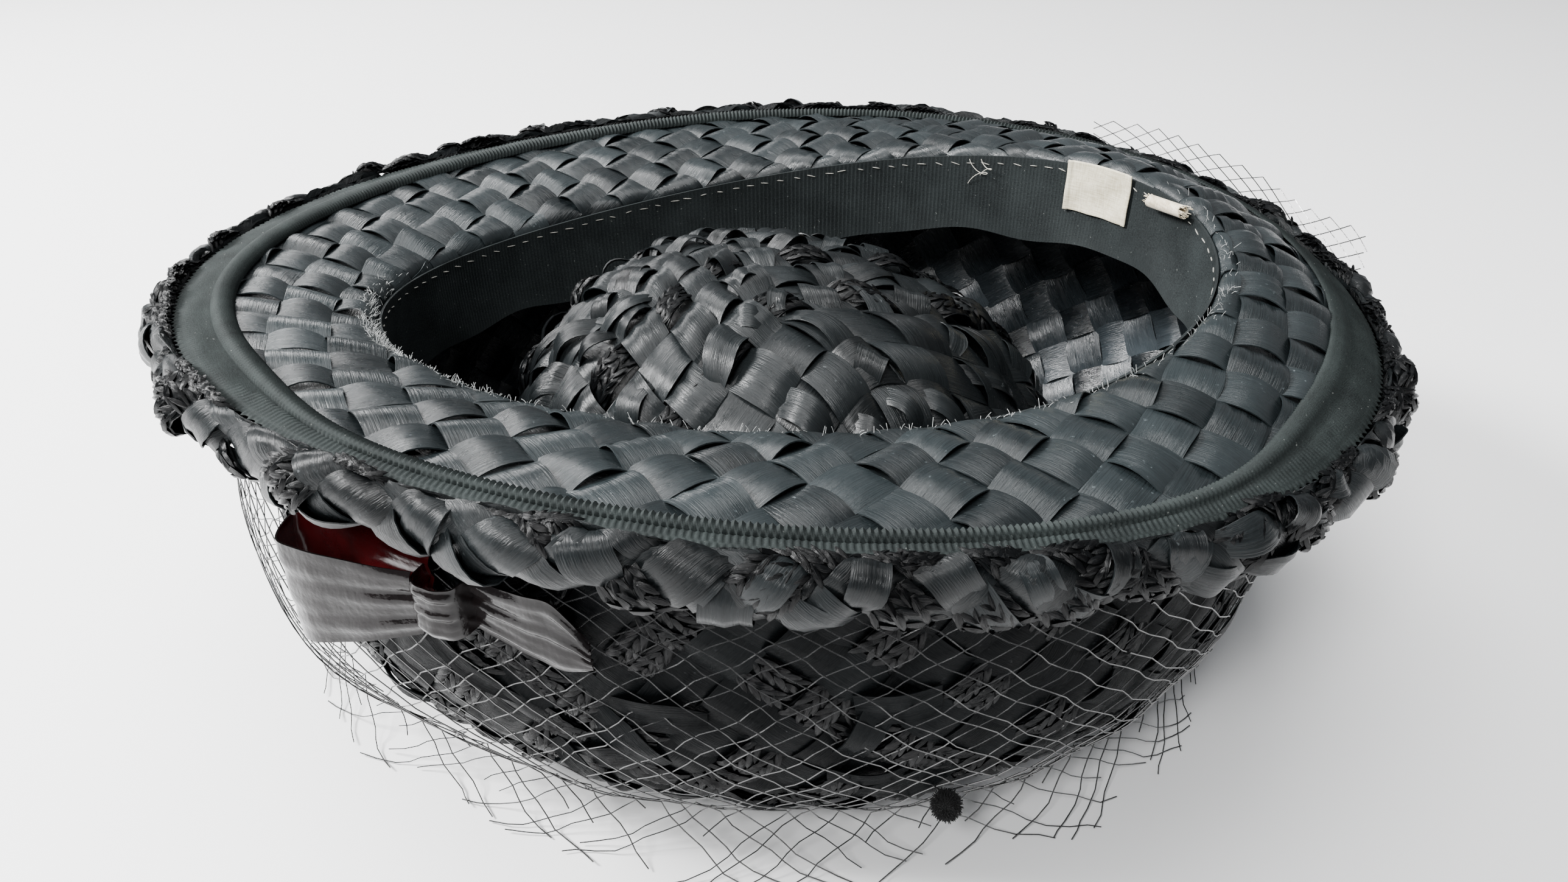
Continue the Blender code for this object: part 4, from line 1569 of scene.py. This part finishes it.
@dataclass
class RibbedBand:
    """A grosgrain ribbon that runs round the hat, with its ribs in the mesh."""

    name: str
    ribs: int
    samples: int
    rib_height: float

    def build(self, section: Callable[[Array], Section]) -> bpy.types.Object:
        """Loft a closed section round the hat.

        Args:
            section: Gives, for angles, the loop's points and how much of the rib each has.

        Returns:
            The ribbon as one closed mesh.
        """
        steps = self.ribs * self.samples
        angle = np.arange(steps) * TURN / steps
        phase = np.cos(TURN * np.arange(steps) / self.samples)
        loop = section(angle)
        lines = np.stack([points for points, _ in loop], axis=1)
        share = np.array([part for _, part in loop])
        centre = lines.mean(axis=1, keepdims=True)
        before, after = np.roll(lines, 1, axis=1), np.roll(lines, -1, axis=1)
        round_way = np.roll(lines, -1, axis=0) - np.roll(lines, 1, axis=0)
        normal = np.cross(after - before, round_way)
        normal /= np.maximum(np.linalg.norm(normal, axis=-1, keepdims=True), 1e-9)
        facing = np.sign((normal * (lines - centre)).sum(axis=(0, 2)))[None, :, None]
        lines = lines + normal * facing * (phase[:, None] * share[None] * self.rib_height)[..., None]
        count = lines.shape[1]
        i, j = np.meshgrid(np.arange(steps), np.arange(count), indexing="ij")
        n, k = (i + 1) % steps, (j + 1) % count
        faces = np.stack([i * count + j, n * count + j, n * count + k, i * count + k], axis=-1).reshape(-1, 4)
        obj = Bench.mesh(self.name, lines.reshape(-1, 3), faces)
        way = arc_table(np.concatenate([lines[:, 0], lines[:1, 0]]))[:-1] / 10.0
        across = np.arange(count) * 0.1
        uv = np.stack(np.meshgrid(way, across, indexing="ij"), axis=-1).reshape(-1, 2)
        Plait.paint(obj, uv, np.full(len(uv), 0.5))
        Bench.alone(obj)
        bpy.ops.object.mode_set(mode="EDIT")
        bpy.ops.mesh.select_all(action="SELECT")
        bpy.ops.mesh.normals_make_consistent(inside=False)
        bpy.ops.object.mode_set(mode="OBJECT")
        Bench.smooth(obj, 70.0)
        return obj


@dataclass
class EdgeRibbon:
    """The ribbed ribbon over a cord that binds the brim."""

    cord: float = 2.3
    ribs: int = 700

    def section(self, angle: Array) -> Section:
        """The ribbon's closed cross-section, from its inner underside round its cord and back.

        Args:
            angle: Angles in radians.

        Returns:
            The loop's points and how much of the rib each has.
        """
        gap = FORM.gap
        flatter = 1.0 - 0.68 * np.clip(np.cos(angle - 0.1), 0, 1) ** 0.7
        slim = FORM.ribbon_share(angle)
        width = FORM.ribbon_width * slim
        cord = self.cord * (1.0 - 0.82 * (1.0 - slim))
        centre = width - cord
        loop = [(FORM.facing(angle, width, gap + 0.2), 0.0)]
        for i in range(7):
            turn = math.pi * i / 6
            inset = centre + cord * math.cos(turn)
            up = gap + 0.5 + cord * flatter * math.sin(turn)
            loop.append((FORM.facing(angle, inset + 0 * angle, up), 1.0))
        picot = 0.35 * np.cos(angle * self.ribs / 2)
        for inset, up in ((5.6, 0.75), (4.0, 0.62), (2.4, 0.6), (1.2, 0.55), (0.45, 0.5)):
            inset = inset * slim
            up = gap + up + 0.10 * np.cos(angle * 37 + inset)
            loop.append((FORM.facing(angle, inset, up), 0.75))
        loop.append((FORM.facing(angle, -0.25 + picot, gap + 0.2), 0.3))
        loop.append((FORM.facing(angle, 0.5 + 0 * angle, gap), 0.0))
        loop.append((FORM.facing(angle, width / 2, gap), 0.0))
        return loop

    def build(self, finishes: Finishes) -> None:
        """Make and dress the ribbon."""
        band = RibbedBand("edge_ribbon_cloth", self.ribs, 4, 0.26)
        Bench.dress(band.build(self.section), finishes.edge, Slot.EDGE, "edge_ribbon")


@dataclass
class Sweatband:
    """The ribbon sewn inside the opening, with its running stitches."""

    ribs: int = 520
    stitches: int = 118
    stitch_length: float = 2.3
    stitch_radius: float = 0.16
    stitch_depth: float = 0.085

    def section(self, angle: Array) -> Section:
        """The band's closed cross-section, with a lower edge that waves.

        Args:
            angle: Angles in radians.

        Returns:
            The loop's points and how much of the rib each has.
        """
        wavy = 0.9 * np.sin(9 * angle + 0.8) + 0.5 * np.sin(17 * angle)
        loop = []
        for share in (0.0, 0.04, 0.14, 0.3, 0.46, 0.62, 0.78, 0.92, 1.0):
            depth = share + wavy * share**3 / 22.0
            buckle = 0.22 * np.sin(13 * angle + 5 * share) * share
            loop.append((FORM.band(angle, depth, buckle), 1.0 if 0.02 < share < 0.99 else 0.3))
        for share in (1.0, 0.6, 0.0):
            depth = share + wavy * share**3 / 22.0
            loop.append((FORM.band(angle, depth, -0.55), 0.0))
        return loop

    def build(self, finishes: Finishes) -> None:
        """Make the band and its stitches.

        Args:
            finishes: The finishes.
        """
        band = RibbedBand("sweatband_cloth", self.ribs, 3, 0.12)
        Bench.dress(band.build(self.section), finishes.band, Slot.BAND, "sweatband")
        self.build_stitches(finishes)

    def build_stitches(self, finishes: Finishes) -> None:
        """Sew a row of uneven running stitches along the band's upper edge.

        Args:
            finishes: The finishes.
        """
        Bench.clear()
        off = self.stitch_radius
        bpy.ops.mesh.primitive_uv_sphere_add(segments=8, ring_count=6, radius=off * MM)
        stitch = bpy.context.object
        bpy.ops.object.mode_set(mode="EDIT")
        bpy.ops.transform.resize(value=(self.stitch_length / 2 / off, 1.0, 0.8))
        bpy.ops.object.mode_set(mode="OBJECT")
        places = []
        scale = RoundScale(lambda a: FORM.band(a, np.full(np.shape(a), 0.09)))
        for i in range(self.stitches):
            way = scale.length * (i + 0.25 * float(chance(i, 3))) / self.stitches
            angle = float(scale.angle(np.array(way)))
            depth = self.stitch_depth + 0.012 * float(chance(i, 8))
            here = FORM.band(np.array(angle), np.array(depth), off)
            there = FORM.band(np.array(angle + 0.01), np.array(self.stitch_depth), off)
            along = Vector(there - here).normalized()
            inward = -Vector(OPENING.out(np.array(angle)))
            up = inward.cross(along).normalized()
            turn = Matrix((along, inward, up)).transposed().to_4x4()
            lean = Matrix.Rotation((float(chance(i, 5)) - 0.5) * 0.3, 4, "Y")
            size = Matrix.Scale(0.7 + 0.5 * float(chance(i, 6)), 4, Vector((1, 0, 0)))
            places.append(Matrix.Translation(Vector(here) * MM) @ turn @ lean @ size)
        rows = Bench.copies("sweatband_stitches", stitch, places)
        Bench.smooth(rows, 80.0)
        Bench.dress(rows, finishes.sewing, Slot.BAND)


@dataclass
class Tags:
    """The bare cloth label, the curled size tag and the loose thread beside them."""

    label_angle: float = 32.5
    label_width: float = 21.0
    label_height: float = 13.5
    label_drop: float = -1.2
    tag_angle: float = 13.0
    tag_length: float = 14.0
    tag_radius: float = 1.6
    tag_tilt: float = 8.0
    fray_count: int = 70
    threads: tuple[tuple[float, float, float], ...] = ((57.0, 3.2, 10.0), (55.5, 2.0, 6.5))

    def along(self, start: float, distance: Array) -> Array:
        """Angle at a distance round the opening from a starting angle.

        Args:
            start: The starting angle in degrees.
            distance: Distances round from it.

        Returns:
            Angles in radians.
        """
        scale = RoundScale(lambda a: OPENING.at(a))
        begin = np.interp(math.radians(start), scale.angles, scale.table) - scale.zero
        return scale.angle(begin + distance)

    def build_label(self, finishes: Finishes) -> None:
        """A bare label with turned ends, sewn on along its top and sides.

        Args:
            finishes: The finishes.
        """
        Bench.clear()
        bpy.ops.mesh.primitive_grid_add(x_subdivisions=42, y_subdivisions=26, size=2.0)
        label = bpy.context.object
        label.name = "label_cloth"
        across, down, _ = Bench.points(label).T
        angle = self.along(self.label_angle, across * self.label_width / 2)
        depth = (self.label_drop + self.label_height * (0.5 - down / 2)) / FORM.band_height
        curl = 0.55 + 0.5 * np.clip(-down - 0.6, 0, 1) ** 2
        curl = curl + 0.18 * np.sin(across * 7) * np.clip(-down, 0, 1)
        curl = curl + 0.30 * (np.abs(across) > 0.88) + 0.12 * np.sin(across * 3 + down * 4)
        Bench.move(label, FORM.band(angle, depth, curl))
        Bench.modify(label, "SOLIDIFY", thickness=0.35 * MM, offset=0.0)
        Bench.modify(label, "BEVEL", width=0.08 * MM, segments=1, limit_method="ANGLE")
        Bench.smooth(label, 60.0)
        Bench.dress(label, finishes.label, Slot.LABEL, "label")

    def build_tag(self, finishes: Finishes) -> None:
        """A strip of tape rolled up round itself, with frayed ends.

        Args:
            finishes: The finishes.
        """
        Bench.clear()
        bpy.ops.mesh.primitive_grid_add(x_subdivisions=60, y_subdivisions=18, size=2.0)
        tag = bpy.context.object
        tag.name = "size_tag_tape"
        points = Bench.points(tag)
        wind = (points[:, 0] + 1) / 2
        turn = wind * 2.4 * math.pi + 0.6
        radius = self.tag_radius * (0.45 + 0.62 * wind)
        length = points[:, 1] * self.tag_length / 2 * (1.0 + 0.03 * np.sin(turn * 3))
        angle = math.radians(self.tag_angle)
        base = FORM.band(np.array(angle), np.array(0.5 / FORM.band_height))
        inward = -OPENING.out(np.array(angle))
        upward = np.array([0, 0, 1.0])
        level = np.cross(upward, inward)
        tilt = math.radians(self.tag_tilt)
        axis = level * math.cos(tilt) + upward * math.sin(tilt)
        side = np.cross(axis, inward)
        centre = base + inward * (self.tag_radius + 0.9)
        place = centre + axis * length[:, None] + inward * (radius * np.cos(turn))[:, None]
        Bench.move(tag, place + side * (radius * np.sin(turn))[:, None])
        Bench.modify(tag, "SOLIDIFY", thickness=0.3 * MM, offset=0.0)
        Bench.smooth(tag, 60.0)
        Bench.dress(tag, finishes.tag, Slot.TAG, "size_tag")
        fray = []
        for i in range(self.fray_count):
            end = -1.0 if i % 2 else 1.0
            around = TURN * float(chance(i, 4))
            size = self.tag_radius * (0.5 + 0.5 * float(chance(i, 5)))
            line = []
            for k in range(4):
                out = self.tag_length / 2 + k * (0.25 + 0.35 * float(chance(i, 6)))
                stray = k * 0.18 * (float(chance(i, 7, k)) - 0.5)
                off = size + stray
                point = centre + axis * end * out + inward * off * math.cos(around)
                line.append(point + side * off * math.sin(around))
            fray.append(np.array(line))
        ends = Bench.tubes("size_tag_fray", fray, 0.07)
        Bench.dress(ends, finishes.tag, Slot.TAG)

    def build_thread(self, finishes: Finishes) -> None:
        """A curl of pale thread that hangs over the sweatband beside the label.

        Args:
            finishes: The finishes.
        """
        lines = []
        for start, size, fall in self.threads:
            line = []
            for t in np.linspace(0.0, 1.0, 48):
                swing = TURN * 0.8 * t + 0.6
                angle = math.radians(start) + size * math.cos(swing) / 88.0
                depth = (0.8 + fall * t + 0.8 * size * (math.sin(swing) - 0.56)) / FORM.band_height
                off = 0.35 + 1.6 * math.sin(math.pi * t)
                line.append(FORM.band(np.array(angle), np.array(depth), off))
            lines.append(np.array(line))
        thread = Bench.tubes("loose_thread", lines, 0.09, 1)
        Bench.smooth(thread, 80.0)
        Bench.dress(thread, finishes.thread, Slot.BAND)

    def build(self, finishes: Finishes) -> None:
        """Make all three.

        Args:
            finishes: The finishes.
        """
        self.build_label(finishes)
        self.build_tag(finishes)
        self.build_thread(finishes)


@dataclass
class Bow:
    """The glossy bow on the crown's wall: a loop, a knot and a pointed tail."""

    width: float = 23.0
    height: float = 73.0
    near: float = 2.6
    knot_angle: float = 241.5
    knot_half: float = 5.5
    knot_depth: float = 6.5
    loop_angle: float = 225.5
    loop_depth: float = 12.0
    loop_drop: float = 3.5
    tail_angle: float = 254.0
    tail_depth: float = 2.2
    tail_drop: float = 7.0
    loop: tuple[tuple[float, float, float, float], ...] = (
        (0.00, 0.00, 0.00, 0.62),
        (0.42, 0.00, 0.40, 0.86),
        (0.80, 0.05, 0.85, 1.00),
        (1.00, 0.32, 1.00, 1.00),
        (0.93, 0.72, 1.00, 1.00),
        (0.77, 1.00, 0.85, 1.00),
        (0.42, 0.80, 0.40, 0.86),
        (0.00, 0.42, 0.00, 0.62),
    )
    knot: tuple[tuple[float, float, float, float], ...] = (
        (-1.0, 0.0, 0.0, 0.5),
        (-0.8, 0.8, 0.0, 0.5),
        (0.0, 1.0, 0.0, 0.5),
        (0.8, 0.8, 0.0, 0.5),
        (1.0, 0.0, 0.0, 0.5),
    )
    tail: tuple[tuple[float, float, float, float], ...] = (
        (0.00, 0.25, 0.00, 0.50),
        (0.42, 0.70, 0.30, 0.62),
        (0.75, 0.90, 0.50, 0.72),
        (1.00, 1.00, 1.00, 0.30),
    )

    def ribbon(
        self,
        finishes: Finishes,
        name: str,
        stations: tuple[tuple[float, ...], ...],
        start: float,
        reach: float,
        depth: float,
        drop: float,
        pleat: float,
    ) -> bpy.types.Object:
        """A ribbon through stations on the wall, with pleats along it.

        Args:
            finishes: The finishes, of which it takes the bow's two.
            name: Name of the piece.
            stations: Turn, depth, drop and width at each station.
            start: Starting angle in degrees.
            reach: Angle that the stations cover.
            depth: How far the ribbon stands off the wall.
            drop: How far it falls.
            pleat: Depth of the pleats.

        Returns:
            The ribbon with its thickness.
        """
        table = np.array(stations)
        fine = np.linspace(0, len(table) - 1, 14 * (len(table) - 1) + 1)
        k = np.clip(np.floor(fine).astype(int), 0, len(table) - 2)
        t = fine - k
        cubic = []
        for column in range(4):
            values = table[:, column]
            slope = np.gradient(values)
            start_part = (2 * t**3 - 3 * t**2 + 1) * values[k] + (t**3 - 2 * t**2 + t) * slope[k]
            cubic.append(start_part + (-2 * t**3 + 3 * t**2) * values[k + 1] + (t**3 - t**2) * slope[k + 1])
        turn, deep, fall, wide = (part[:, None] for part in cubic)
        rows = np.linspace(-0.5, 0.5, 25)[None, :]
        angle = np.radians(start + reach * turn) + 0 * rows
        level = self.height - drop * fall + self.width * wide * rows
        gather = np.clip(1.25 - wide, 0.15, 1.0)
        fine = fine[:, None]
        folds = pleat * gather * (np.sin(rows * 19 + 1.3) + 0.6 * np.sin(rows * 33 + fine * 0.9)) * 0.5
        crinkle = 0.16 * np.sin(fine * 5.1 + rows * 6) * np.sin(fine * 2.3 - rows * 9)
        off = self.near + depth * deep + np.maximum(folds + crinkle, -0.6)
        place = FORM.wall(angle, level, off)
        obj = Bench.mesh(name, place.reshape(-1, 3), grid_faces(*place.shape[:2]))
        for finish in (finishes.bow, finishes.bow_inside):
            obj.data.materials.append(finish)
        Bench.modify(obj, "SOLIDIFY", thickness=0.35 * MM, offset=0.0, material_offset=1)
        Bench.smooth(obj, 60.0)
        return obj

    def build(self, finishes: Finishes) -> None:
        """Make and dress the three parts.

        Args:
            finishes: The finishes.
        """
        half = math.degrees(self.knot_half / BOUND.half_x)
        side = half + math.degrees(1.6 / BOUND.half_x)
        loop_start, tail_start = self.knot_angle - side + 1.2, self.knot_angle + side - 1.2
        loop_reach, tail_reach = self.loop_angle - loop_start, self.tail_angle - tail_start
        knot = (self.knot, self.knot_angle, half, self.knot_depth, 0.0, 0.7)
        loop = (self.loop, loop_start, loop_reach, self.loop_depth, self.loop_drop, 0.9)
        tail = (self.tail, tail_start, tail_reach, self.tail_depth, self.tail_drop, 0.8)
        parts = (
            ("bow_knot_satin", "bow_knot", knot),
            ("bow_loop_satin", "bow_loop", loop),
            ("bow_tail_satin", "bow_tail", tail),
        )
        for name, node, shape in parts:
            Bench.dress(self.ribbon(finishes, name, *shape), finishes.bow, Slot.BOW, node)


@dataclass
class Veil:
    """The coarse net round the crown, which spreads on the surface at the front."""

    strands: int = 94
    radius: float = 0.15
    clear: float = 0.9
    bar: float = 1.2
    puff: float = 2.0
    hem: float = 9.0
    top_drop: float = 14.5
    skirt: float = 7.0
    skirt_front: float = 16.0
    lies_from: float = 0.74
    rows: int = 34
    left_hang: float = 13.0
    flap_from: float = 5.0
    flap_to: float = 49.0
    flap_strands: int = 14
    flap_slip: int = 9
    flap_turn: float = 0.45
    dot_angle: float = 285.0
    dot_height: float = 20.0
    dot_radius: float = 2.9
    dot_pile: int = 900

    def hang(self, angle: Array) -> Array:
        """How far the net hangs off the wall at the left, where the brim holds it out."""
        left = np.degrees(np.abs((angle - math.radians(198.0) + math.pi) % TURN - math.pi))
        return self.left_hang * np.exp(-((left / 24.0) ** 2))

    def point(self, angle: Array, share: Array, loose: float = 0.0) -> Array:
        """Points of the net.

        Args:
            angle: Angles in radians.
            share: From 0 under the brim to 1 furthest out on the surface.
            loose: Distance further off the wall.

        Returns:
            Points.
        """
        middle = self.clear + self.bar / 2
        fall = np.clip(share / self.lies_from, 0, 1)
        sag = 0.7 * np.sin(angle * 9 + fall * 7) + 0.6 * np.sin(angle * 23 - fall * 11)
        puff = self.puff * np.sin(math.pi / 2 * np.clip(2 * fall - 1, 0, 1)) ** 2
        top = BOUND.at(angle)[..., 2] - self.top_drop
        low = 0.3 + self.radius
        hem = low + self.hem
        hang = self.hang(angle)
        off = middle + puff + sag * fall + loose + hang * np.sin(math.pi / 2 * fall)
        hung = FORM.wall(angle, top + (hem - top) * fall, off)
        spread = np.clip((share - self.lies_from) / (1 - self.lies_from), 0, 1.3)
        front = np.clip(-np.sin(angle), 0, 1) ** 2
        ragged = 1.0 + 0.16 * np.sin(angle * 7 + 1) + 0.10 * np.sin(angle * 17)
        skirt = (self.skirt + (self.skirt_front - self.skirt) * front) * ragged
        laid = FORM.wall(angle, hem + 0 * angle, middle + self.puff + hang)
        laid = laid + BOUND.out(angle) * (skirt * spread)[..., None]
        ripple = 0.8 * np.abs(np.sin(angle * 31 + spread * 5)) * spread
        laid[..., 2] = np.maximum(low + ripple, hem * (1 - 1.4 * spread))
        return np.where((share > self.lies_from)[..., None], laid, hung)

    def flap_point(self, angle: Array, share: Array) -> Array:
        """Points of the loose part that passes behind the brim and stands up past its edge.

        Args:
            angle: Angles in radians.
            share: From 0 at its lower to 1 at its upper end.

        Returns:
            Points.
        """
        turn = self.flap_turn
        low = FORM.wall(angle, 66.0 + 0 * angle, 2.0)
        under = BOUND.at(angle, 8.0, -13.0)
        top = BOUND.at(angle, 8.5 + 1.2 * np.sin(angle * 19), 7.5 + 1.5 * np.sin(angle * 11 + 1))
        first = low + (under - low) * np.clip(share / turn, 0, 1)[..., None]
        second = under + (top - under) * np.clip((share - turn) / (1.0 - turn), 0, 1)[..., None]
        bulge = 2.0 * np.sin(math.pi * np.clip((share - 0.3) / 0.7, 0, 1))
        return np.where((share > turn)[..., None], second, first) + BOUND.out(angle) * bulge[..., None]

    def flap(self) -> list[Array]:
        """Threads of the loose part, clipped to its ends.

        Returns:
            A line of points for each.
        """
        lines = []
        share = np.linspace(0.0, 1.0, 46)
        step = (self.flap_to - self.flap_from) / self.flap_strands
        for way in (-1.0, 1.0):
            for i in range(-self.flap_slip, self.flap_strands + self.flap_slip):
                angle = self.flap_from + step * (i + 0.5) + way * self.flap_slip * step * (share - 0.5)
                keep = (angle > self.flap_from) & (angle < self.flap_to)
                if keep.sum() > 2:
                    lines.append(self.flap_point(np.radians(angle[keep]), share[keep]))
        return lines

    def build_net(self, finishes: Finishes) -> None:
        """Two crossing sets of thin threads.

        Args:
            finishes: The finishes.
        """
        lines = []
        share = np.linspace(0.0, 1.0, self.rows)
        step = TURN / self.strands
        for way in (-1.0, 1.0):
            for i in range(self.strands):
                start = TURN * (i + 0.3 * float(chance(i, way + 2))) / self.strands
                end = 1.0 - 0.26 * float(chance(i, way + 5)) ** 2
                travel = share * end
                slow = np.sin(share * 5.3 + 9.0 * float(chance(i, way + 11))) * share
                zig = 0.10 * step * np.sin(share * self.rows * math.pi / 2 + i) + 0.26 * step * slow
                angle = start + way * travel + zig
                lines.append(self.point(angle, travel, 0.12 * way))
        lines += self.flap()
        net = Bench.tubes("veil_net", lines, self.radius)
        Bench.smooth(net, 80.0)
        Bench.dress(net, finishes.net, Slot.NET, "veil")

    def build_dot(self, finishes: Finishes) -> None:
        """The chenille dot: a rough core with a pile of short threads.

        Args:
            finishes: The finishes.
        """
        angle = math.radians(self.dot_angle)
        off = self.clear + self.puff + self.bar / 2 + self.dot_radius
        centre = FORM.wall(np.array(angle), np.array(self.dot_height), off)
        Bench.clear()
        size = self.dot_radius * 0.86 * MM
        bpy.ops.mesh.primitive_ico_sphere_add(subdivisions=4, radius=size, location=tuple(centre * MM))
        core = bpy.context.object
        core.name = "veil_dot_core"
        Bench.apply(core)
        points = Bench.points(core) / MM - centre
        x, y, z = points.T
        rough = 1.0 + 0.10 * np.sin(x * 4.1) * np.sin(y * 3.7 + 1) * np.sin(z * 4.4)
        Bench.move(core, points * rough[:, None] + centre)
        Bench.smooth(core, 80.0)
        Bench.dress(core, finishes.chenille, Slot.CHENILLE, "veil_dot")
        pile = []
        for i in range(self.dot_pile):
            z = 1 - 2 * (i + 0.5) / self.dot_pile
            turn = i * GOLDEN_TURN
            level = math.sqrt(1 - z * z)
            way = np.array([level * math.cos(turn), level * math.sin(turn), z])
            bend = np.array([float(chance(i, k)) - 0.5 for k in (1, 2, 3)]) * 0.5
            base = centre + way * self.dot_radius * 0.8
            middle = centre + way * self.dot_radius * 0.98 + bend * 0.5
            tip = centre + way * self.dot_radius * (1.08 + 0.08 * float(chance(i, 9))) + bend * 1.4
            pile.append(np.array([base, middle, tip]))
        fur = Bench.tubes("veil_dot_pile", pile, 0.09)
        Bench.dress(fur, finishes.chenille, Slot.CHENILLE)

    def build(self, finishes: Finishes) -> None:
        """Make the net and its dot."""
        self.build_net(finishes)
        self.build_dot(finishes)


@dataclass
class Fray:
    """Pale broken fibres along the fold of the facing, thickest at the front left."""

    count: int = 900
    radius: float = 0.055

    def build(self, finishes: Finishes) -> None:
        """Scatter the fibres.

        Args:
            finishes: The finishes.
        """
        lines = []
        for i in range(self.count):
            middle = 205.0 if float(chance(i, 1)) < 0.6 else 180.0 + 180.0 * float(chance(i, 2))
            angle = math.radians(middle + 34.0 * (float(chance(i, 3)) + float(chance(i, 4)) - 1.0))
            inset = float(FORM.facing_width(np.array(angle))) - 3.2 + 4.5 * float(chance(i, 5))
            base = FORM.facing_skin(np.array(angle), np.array(inset)) + np.array([0, 0, 0.1])
            x, y, z = (float(chance(i, key)) for key in (6, 7, 8))
            way = np.array([x - 0.5, y - 0.5, 0.25 + 0.45 * z])
            size = 0.7 + 1.5 * float(chance(i, 9))
            way = way / np.linalg.norm(way) * size
            droop = np.array([0, 0, -0.25 * size * float(chance(i, 10))])
            lines.append(np.array([base, base + way * 0.5, base + way + droop]))
        fibres = Bench.tubes("facing_fibres", lines, self.radius)
        Bench.dress(fibres, finishes.fray, Slot.FACING)


@dataclass
class Studio:
    """The camera at the photograph's place, a pale floor and soft lights."""

    place: Place = (-0.002384, -0.272645, 0.209945)
    right: tuple[float, float, float] = (0.999949, -0.008794, -0.004930)
    up: tuple[float, float, float] = (0.008772, 0.517861, 0.855420)
    forward: tuple[float, float, float] = (0.004970, 0.855420, -0.517912)
    focal: float = 1976.477
    width: float = 2576.0
    sensor: float = 36.0
    floor_dark: Colour = (0.92, 0.92, 0.925)
    floor_light: Colour = (0.95, 0.95, 0.95)

    def build_camera(self) -> None:
        """Place the camera."""
        data = bpy.data.cameras.new("camera")
        data.sensor_width = self.sensor
        data.lens = self.focal / self.width * self.sensor
        data.clip_start = 0.01
        camera = bpy.data.objects.new("camera", data)
        back = [-part for part in self.forward]
        turn = Matrix((self.right, self.up, back)).transposed().to_4x4()
        camera.matrix_world = Matrix.Translation(self.place) @ turn
        bpy.context.scene.collection.objects.link(camera)
        bpy.context.scene.camera = camera

    def build_floor(self) -> None:
        """A broad pale floor that isn't part of the hat."""
        Bench.clear()
        bpy.ops.mesh.primitive_plane_add(size=6.0, location=(0, 0, 0))
        floor = bpy.context.object
        floor.name = "floor"
        graph = Graph("pale_floor")
        place = graph.add("ShaderNodeTexCoord").outputs["Object"]
        patch = graph.noise(place, (6.0, 6.0, 6.0), 2.0, 0.5)
        graph.paint(graph.blend(patch, self.floor_dark, self.floor_light))
        graph.set(Roughness=0.6, Specular_IOR_Level=0.3)
        floor.data.materials.append(graph.material)

    def light(self, name: str, place: Place, aim: Place, size: float, power: float) -> None:
        """Add one soft square light that looks at a point.

        Args:
            name: Its name.
            place: Where it is.
            aim: The point that it looks at.
            size: Its side in metres.
            power: Its power in watts.
        """
        data = bpy.data.lights.new(name, "AREA")
        data.shape = "SQUARE"
        data.size = size
        data.energy = power
        lamp = bpy.data.objects.new(name, data)
        lamp.location = place
        lamp.rotation_euler = (Vector(aim) - Vector(place)).to_track_quat("-Z", "Y").to_euler()
        bpy.context.scene.collection.objects.link(lamp)

    def build(self) -> None:
        """Set up the camera, the floor, the lights and the sky."""
        self.build_camera()
        self.build_floor()
        self.light("key", (-1.05, -0.02, 0.88), (0, 0, 0.06), 0.34, 58.0)
        self.light("top", (-0.20, 0.05, 1.70), (0, 0, 0.05), 1.4, 43.0)
        self.light("inside", (-0.34, -0.78, 0.82), (0.05, 0.03, 0.05), 0.30, 11.0)
        self.light("back", (-0.66, 0.86, 0.62), (-0.05, 0, 0.08), 0.42, 9.0)
        world = bpy.data.worlds.new("sky")
        world.use_nodes = True
        sky = world.node_tree.nodes["Background"]
        sky.inputs["Color"].default_value = (0.93, 0.96, 1.0, 1.0)
        sky.inputs["Strength"].default_value = 0.37
        bpy.context.scene.world = world


def main() -> None:
    """Load the frame and build every sub-assembly, the floor, the lights and the camera."""
    logging.basicConfig(level=logging.INFO, format="%(message)s")
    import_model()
    finishes = Finishes()
    Facing().build(finishes)
    BrimEdge().build(finishes)
    Crown().build(finishes)
    EdgeRibbon().build(finishes)
    Sweatband().build(finishes)
    Tags().build(finishes)
    Bow().build(finishes)
    Veil().build(finishes)
    Fray().build(finishes)
    Studio().build()


if __name__ == "__main__":
    main()
